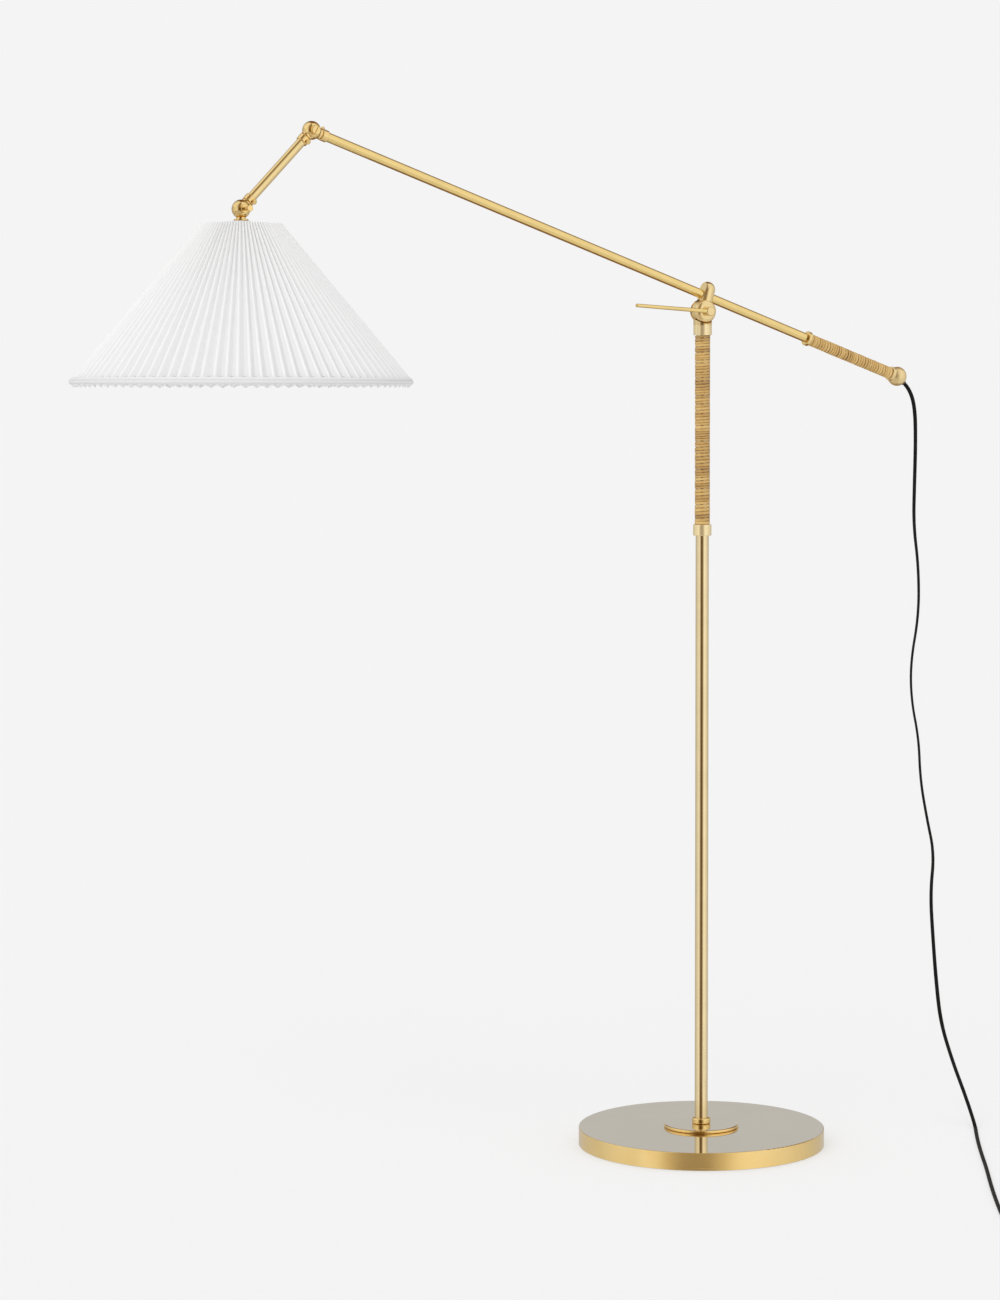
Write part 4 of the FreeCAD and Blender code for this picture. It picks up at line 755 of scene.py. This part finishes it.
def make_hem():
    """Tape sewn round the lower edge: a flat strip, a stitched groove and a round roll."""
    chance = random.Random(8)
    around = PLEATS * HEM_POINTS
    ease = [chance.uniform(-HEM_EASE, HEM_EASE) for _ in range(around)]
    points, folds = [], []
    for rise, out, dark in HEM_OUTLINE:
        for k in range(around):
            angle = k / around * math.tau
            pull = HEM_PULL * math.cos(angle * PLEATS) + (ease[k] + ease[k - 1]) / 4
            drop = SHADE_HEIGHT - rise * MM
            radius = SHADE_TOP + SHADE_RUN * min(drop, SHADE_HEIGHT - SHADE_HEM)
            points.append(shade_point(radius + (out + pull) * MM, SHADE_PLACE + drop, angle))
            # the row's painted shade, read by the cloth's material
            folds.append(dark)
    faces = ring_faces(len(HEM_OUTLINE), around, closed_ends=False)
    hem = new_mesh("shade_hem", points, faces, cotton)
    paint(hem, "fold", folds)
    return hem


shade_pleats = make_pleats()
shade_hem = make_hem()
for piece in (shade_pleats, shade_hem):
    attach(piece, "shade_head")
    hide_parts("shade_cloth")

# ---------------------------------------------------------------- floor and light
FLOOR_PALE = 0.905             # the background as the camera sees it
FLOOR_COLOUR = 0.9
FLOOR_REACH = 60.0
FLOOR_CORNERS = 64
WORLD_SHARE = 0.76
SUN_SHARE = 0.28
SUN_DOWN = Vector((0.66, 0.48, -0.58)).normalized()
SUN_ANGLE = math.radians(50)
GLOW_SHARE = 0.5               # of the floor as the camera sees it, so its shadows stay faint

# The room that metal mirrors: colours round it, at shares of a turn that starts from -x and
# passes -y, +x and +y. It is pale, with brown gaps where it is open, and greyer on the right.
ROOM_LEVEL = ((0.0, grey(1.0)), (0.045, grey(0.98)), (0.075, (0.56, 0.5, 0.4)),
              (0.115, (0.13, 0.075, 0.035)), (0.18, (0.14, 0.085, 0.04)),
              (0.22, (0.56, 0.5, 0.4)), (0.26, grey(1.1)), (0.31, grey(1.05)),
              (0.42, grey(0.8)), (0.52, grey(0.6)), (0.62, grey(0.56)), (0.72, grey(0.55)),
              (0.85, grey(0.6)), (0.93, grey(0.82)))
ROOM_ABOVE = ((0.0, grey(0.85)), (0.05, grey(0.8)), (0.09, (0.29, 0.2, 0.11)),
              (0.19, (0.32, 0.23, 0.13)), (0.235, grey(0.9)), (0.45, grey(1.0)),
              (0.55, (0.36, 0.28, 0.18)), (0.6, (0.19, 0.105, 0.045)),
              (0.72, (0.21, 0.12, 0.055)), (0.78, grey(0.7)), (0.9, grey(1.0)))
ROOM_BELOW = ((0.0, (0.64, 0.6, 0.55)), (0.1, (0.54, 0.49, 0.43)), (0.2, (0.6, 0.54, 0.47)),
              (0.3, grey(0.85)), (0.5, grey(0.7)), (0.6, (0.24, 0.14, 0.065)),
              (0.75, (0.24, 0.14, 0.065)), (0.83, (0.64, 0.6, 0.54)))
ABOVE_FROM, ABOVE_FULL = 0.24, 0.36       # heights of a direction, from level 0 to upright 1
BELOW_FROM, BELOW_FULL = -0.25, -0.38


def mirrored_room(tree):
    """The room's colour in a direction."""
    place = add(tree, "ShaderNodeTexCoord")
    split = add(tree, "ShaderNodeSeparateXYZ")
    tree.links.new(place.outputs["Generated"], split.inputs[0])
    azimuth = maths(tree, "ARCTAN2", split.outputs["Y"], split.outputs["X"])
    turned = spread(tree, azimuth, 0, 1, -math.pi, math.pi)
    height = split.outputs["Z"]
    above_share = spread(tree, height, 0, 1, ABOVE_FROM, ABOVE_FULL)
    below_share = spread(tree, height, 0, 1, BELOW_FROM, BELOW_FULL)
    room = ramp(tree, turned, *ROOM_LEVEL)
    room = mix(tree, "RGBA", above_share, room, ramp(tree, turned, *ROOM_ABOVE))
    return mix(tree, "RGBA", below_share, room, ramp(tree, turned, *ROOM_BELOW))


def pale_world():
    """Even white light, a pale background for the camera, and a room for metal to mirror."""
    world = bpy.data.worlds.new("studio")
    scene.world = world
    world.use_nodes = True
    tree = world.node_tree
    tree.nodes.clear()
    path = add(tree, "ShaderNodeLightPath")
    seen = add(tree, "ShaderNodeBackground", Color=(*grey(FLOOR_PALE), 1), Strength=1.0)
    mirrored = add(tree, "ShaderNodeBackground", Strength=1.0)
    tree.links.new(mirrored_room(tree), mirrored.inputs["Color"])
    lit = add(tree, "ShaderNodeBackground", Color=(1, 1, 1, 1), Strength=WORLD_SHARE)
    light = mix_shaders(tree, path.outputs["Is Glossy Ray"], lit.outputs[0],
                        mirrored.outputs[0])
    clear = maths(tree, "MAXIMUM", path.outputs["Is Camera Ray"],
                  path.outputs["Is Transmission Ray"])
    out = add(tree, "ShaderNodeOutputWorld")
    tree.links.new(mix_shaders(tree, clear, light, seen.outputs[0]), out.inputs["Surface"])


def make_sun():
    data = bpy.data.lights.new("key", "SUN")
    data.energy = SUN_SHARE * math.pi
    data.angle = SUN_ANGLE
    sun = bpy.data.objects.new("key", data)
    sun.visible_glossy = False     # metal mirrors the room only
    sun.rotation_mode = "QUATERNION"
    sun.rotation_quaternion = SUN_DOWN.to_track_quat("-Z", "Y")
    scene.collection.objects.link(sun)


def floor_material():
    """A pale floor that the camera sees partly as a glow, as bright as the background."""
    material, tree, bsdf = new_material("pale_floor")
    bsdf.inputs["Base Color"].default_value = (*grey(FLOOR_COLOUR), 1)
    bsdf.inputs["Roughness"].default_value = 1.0
    bsdf.inputs["Specular IOR Level"].default_value = 0.0
    floor_light = FLOOR_COLOUR * (WORLD_SHARE + SUN_SHARE * -SUN_DOWN.z)
    glow = add(tree, "ShaderNodeEmission",
               Strength=(FLOOR_PALE - (1 - GLOW_SHARE) * floor_light) / GLOW_SHARE)
    path = add(tree, "ShaderNodeLightPath")
    share = maths(tree, "MULTIPLY", path.outputs["Is Camera Ray"], GLOW_SHARE)
    tree.links.new(mix_shaders(tree, share, bsdf.outputs[0], glow.outputs[0]),
                   tree.nodes["Material Output"].inputs["Surface"])
    return material


def make_floor():
    angles = [k / FLOOR_CORNERS * math.tau for k in range(FLOOR_CORNERS)]
    rim = [(FLOOR_REACH * math.cos(angle), FLOOR_REACH * math.sin(angle), 0) for angle in angles]
    floor = new_mesh("floor", rim, [tuple(range(FLOOR_CORNERS))], floor_material(), smooth=False)
    floor.visible_glossy = False
    return floor


pale_world()
make_sun()
floor = make_floor()
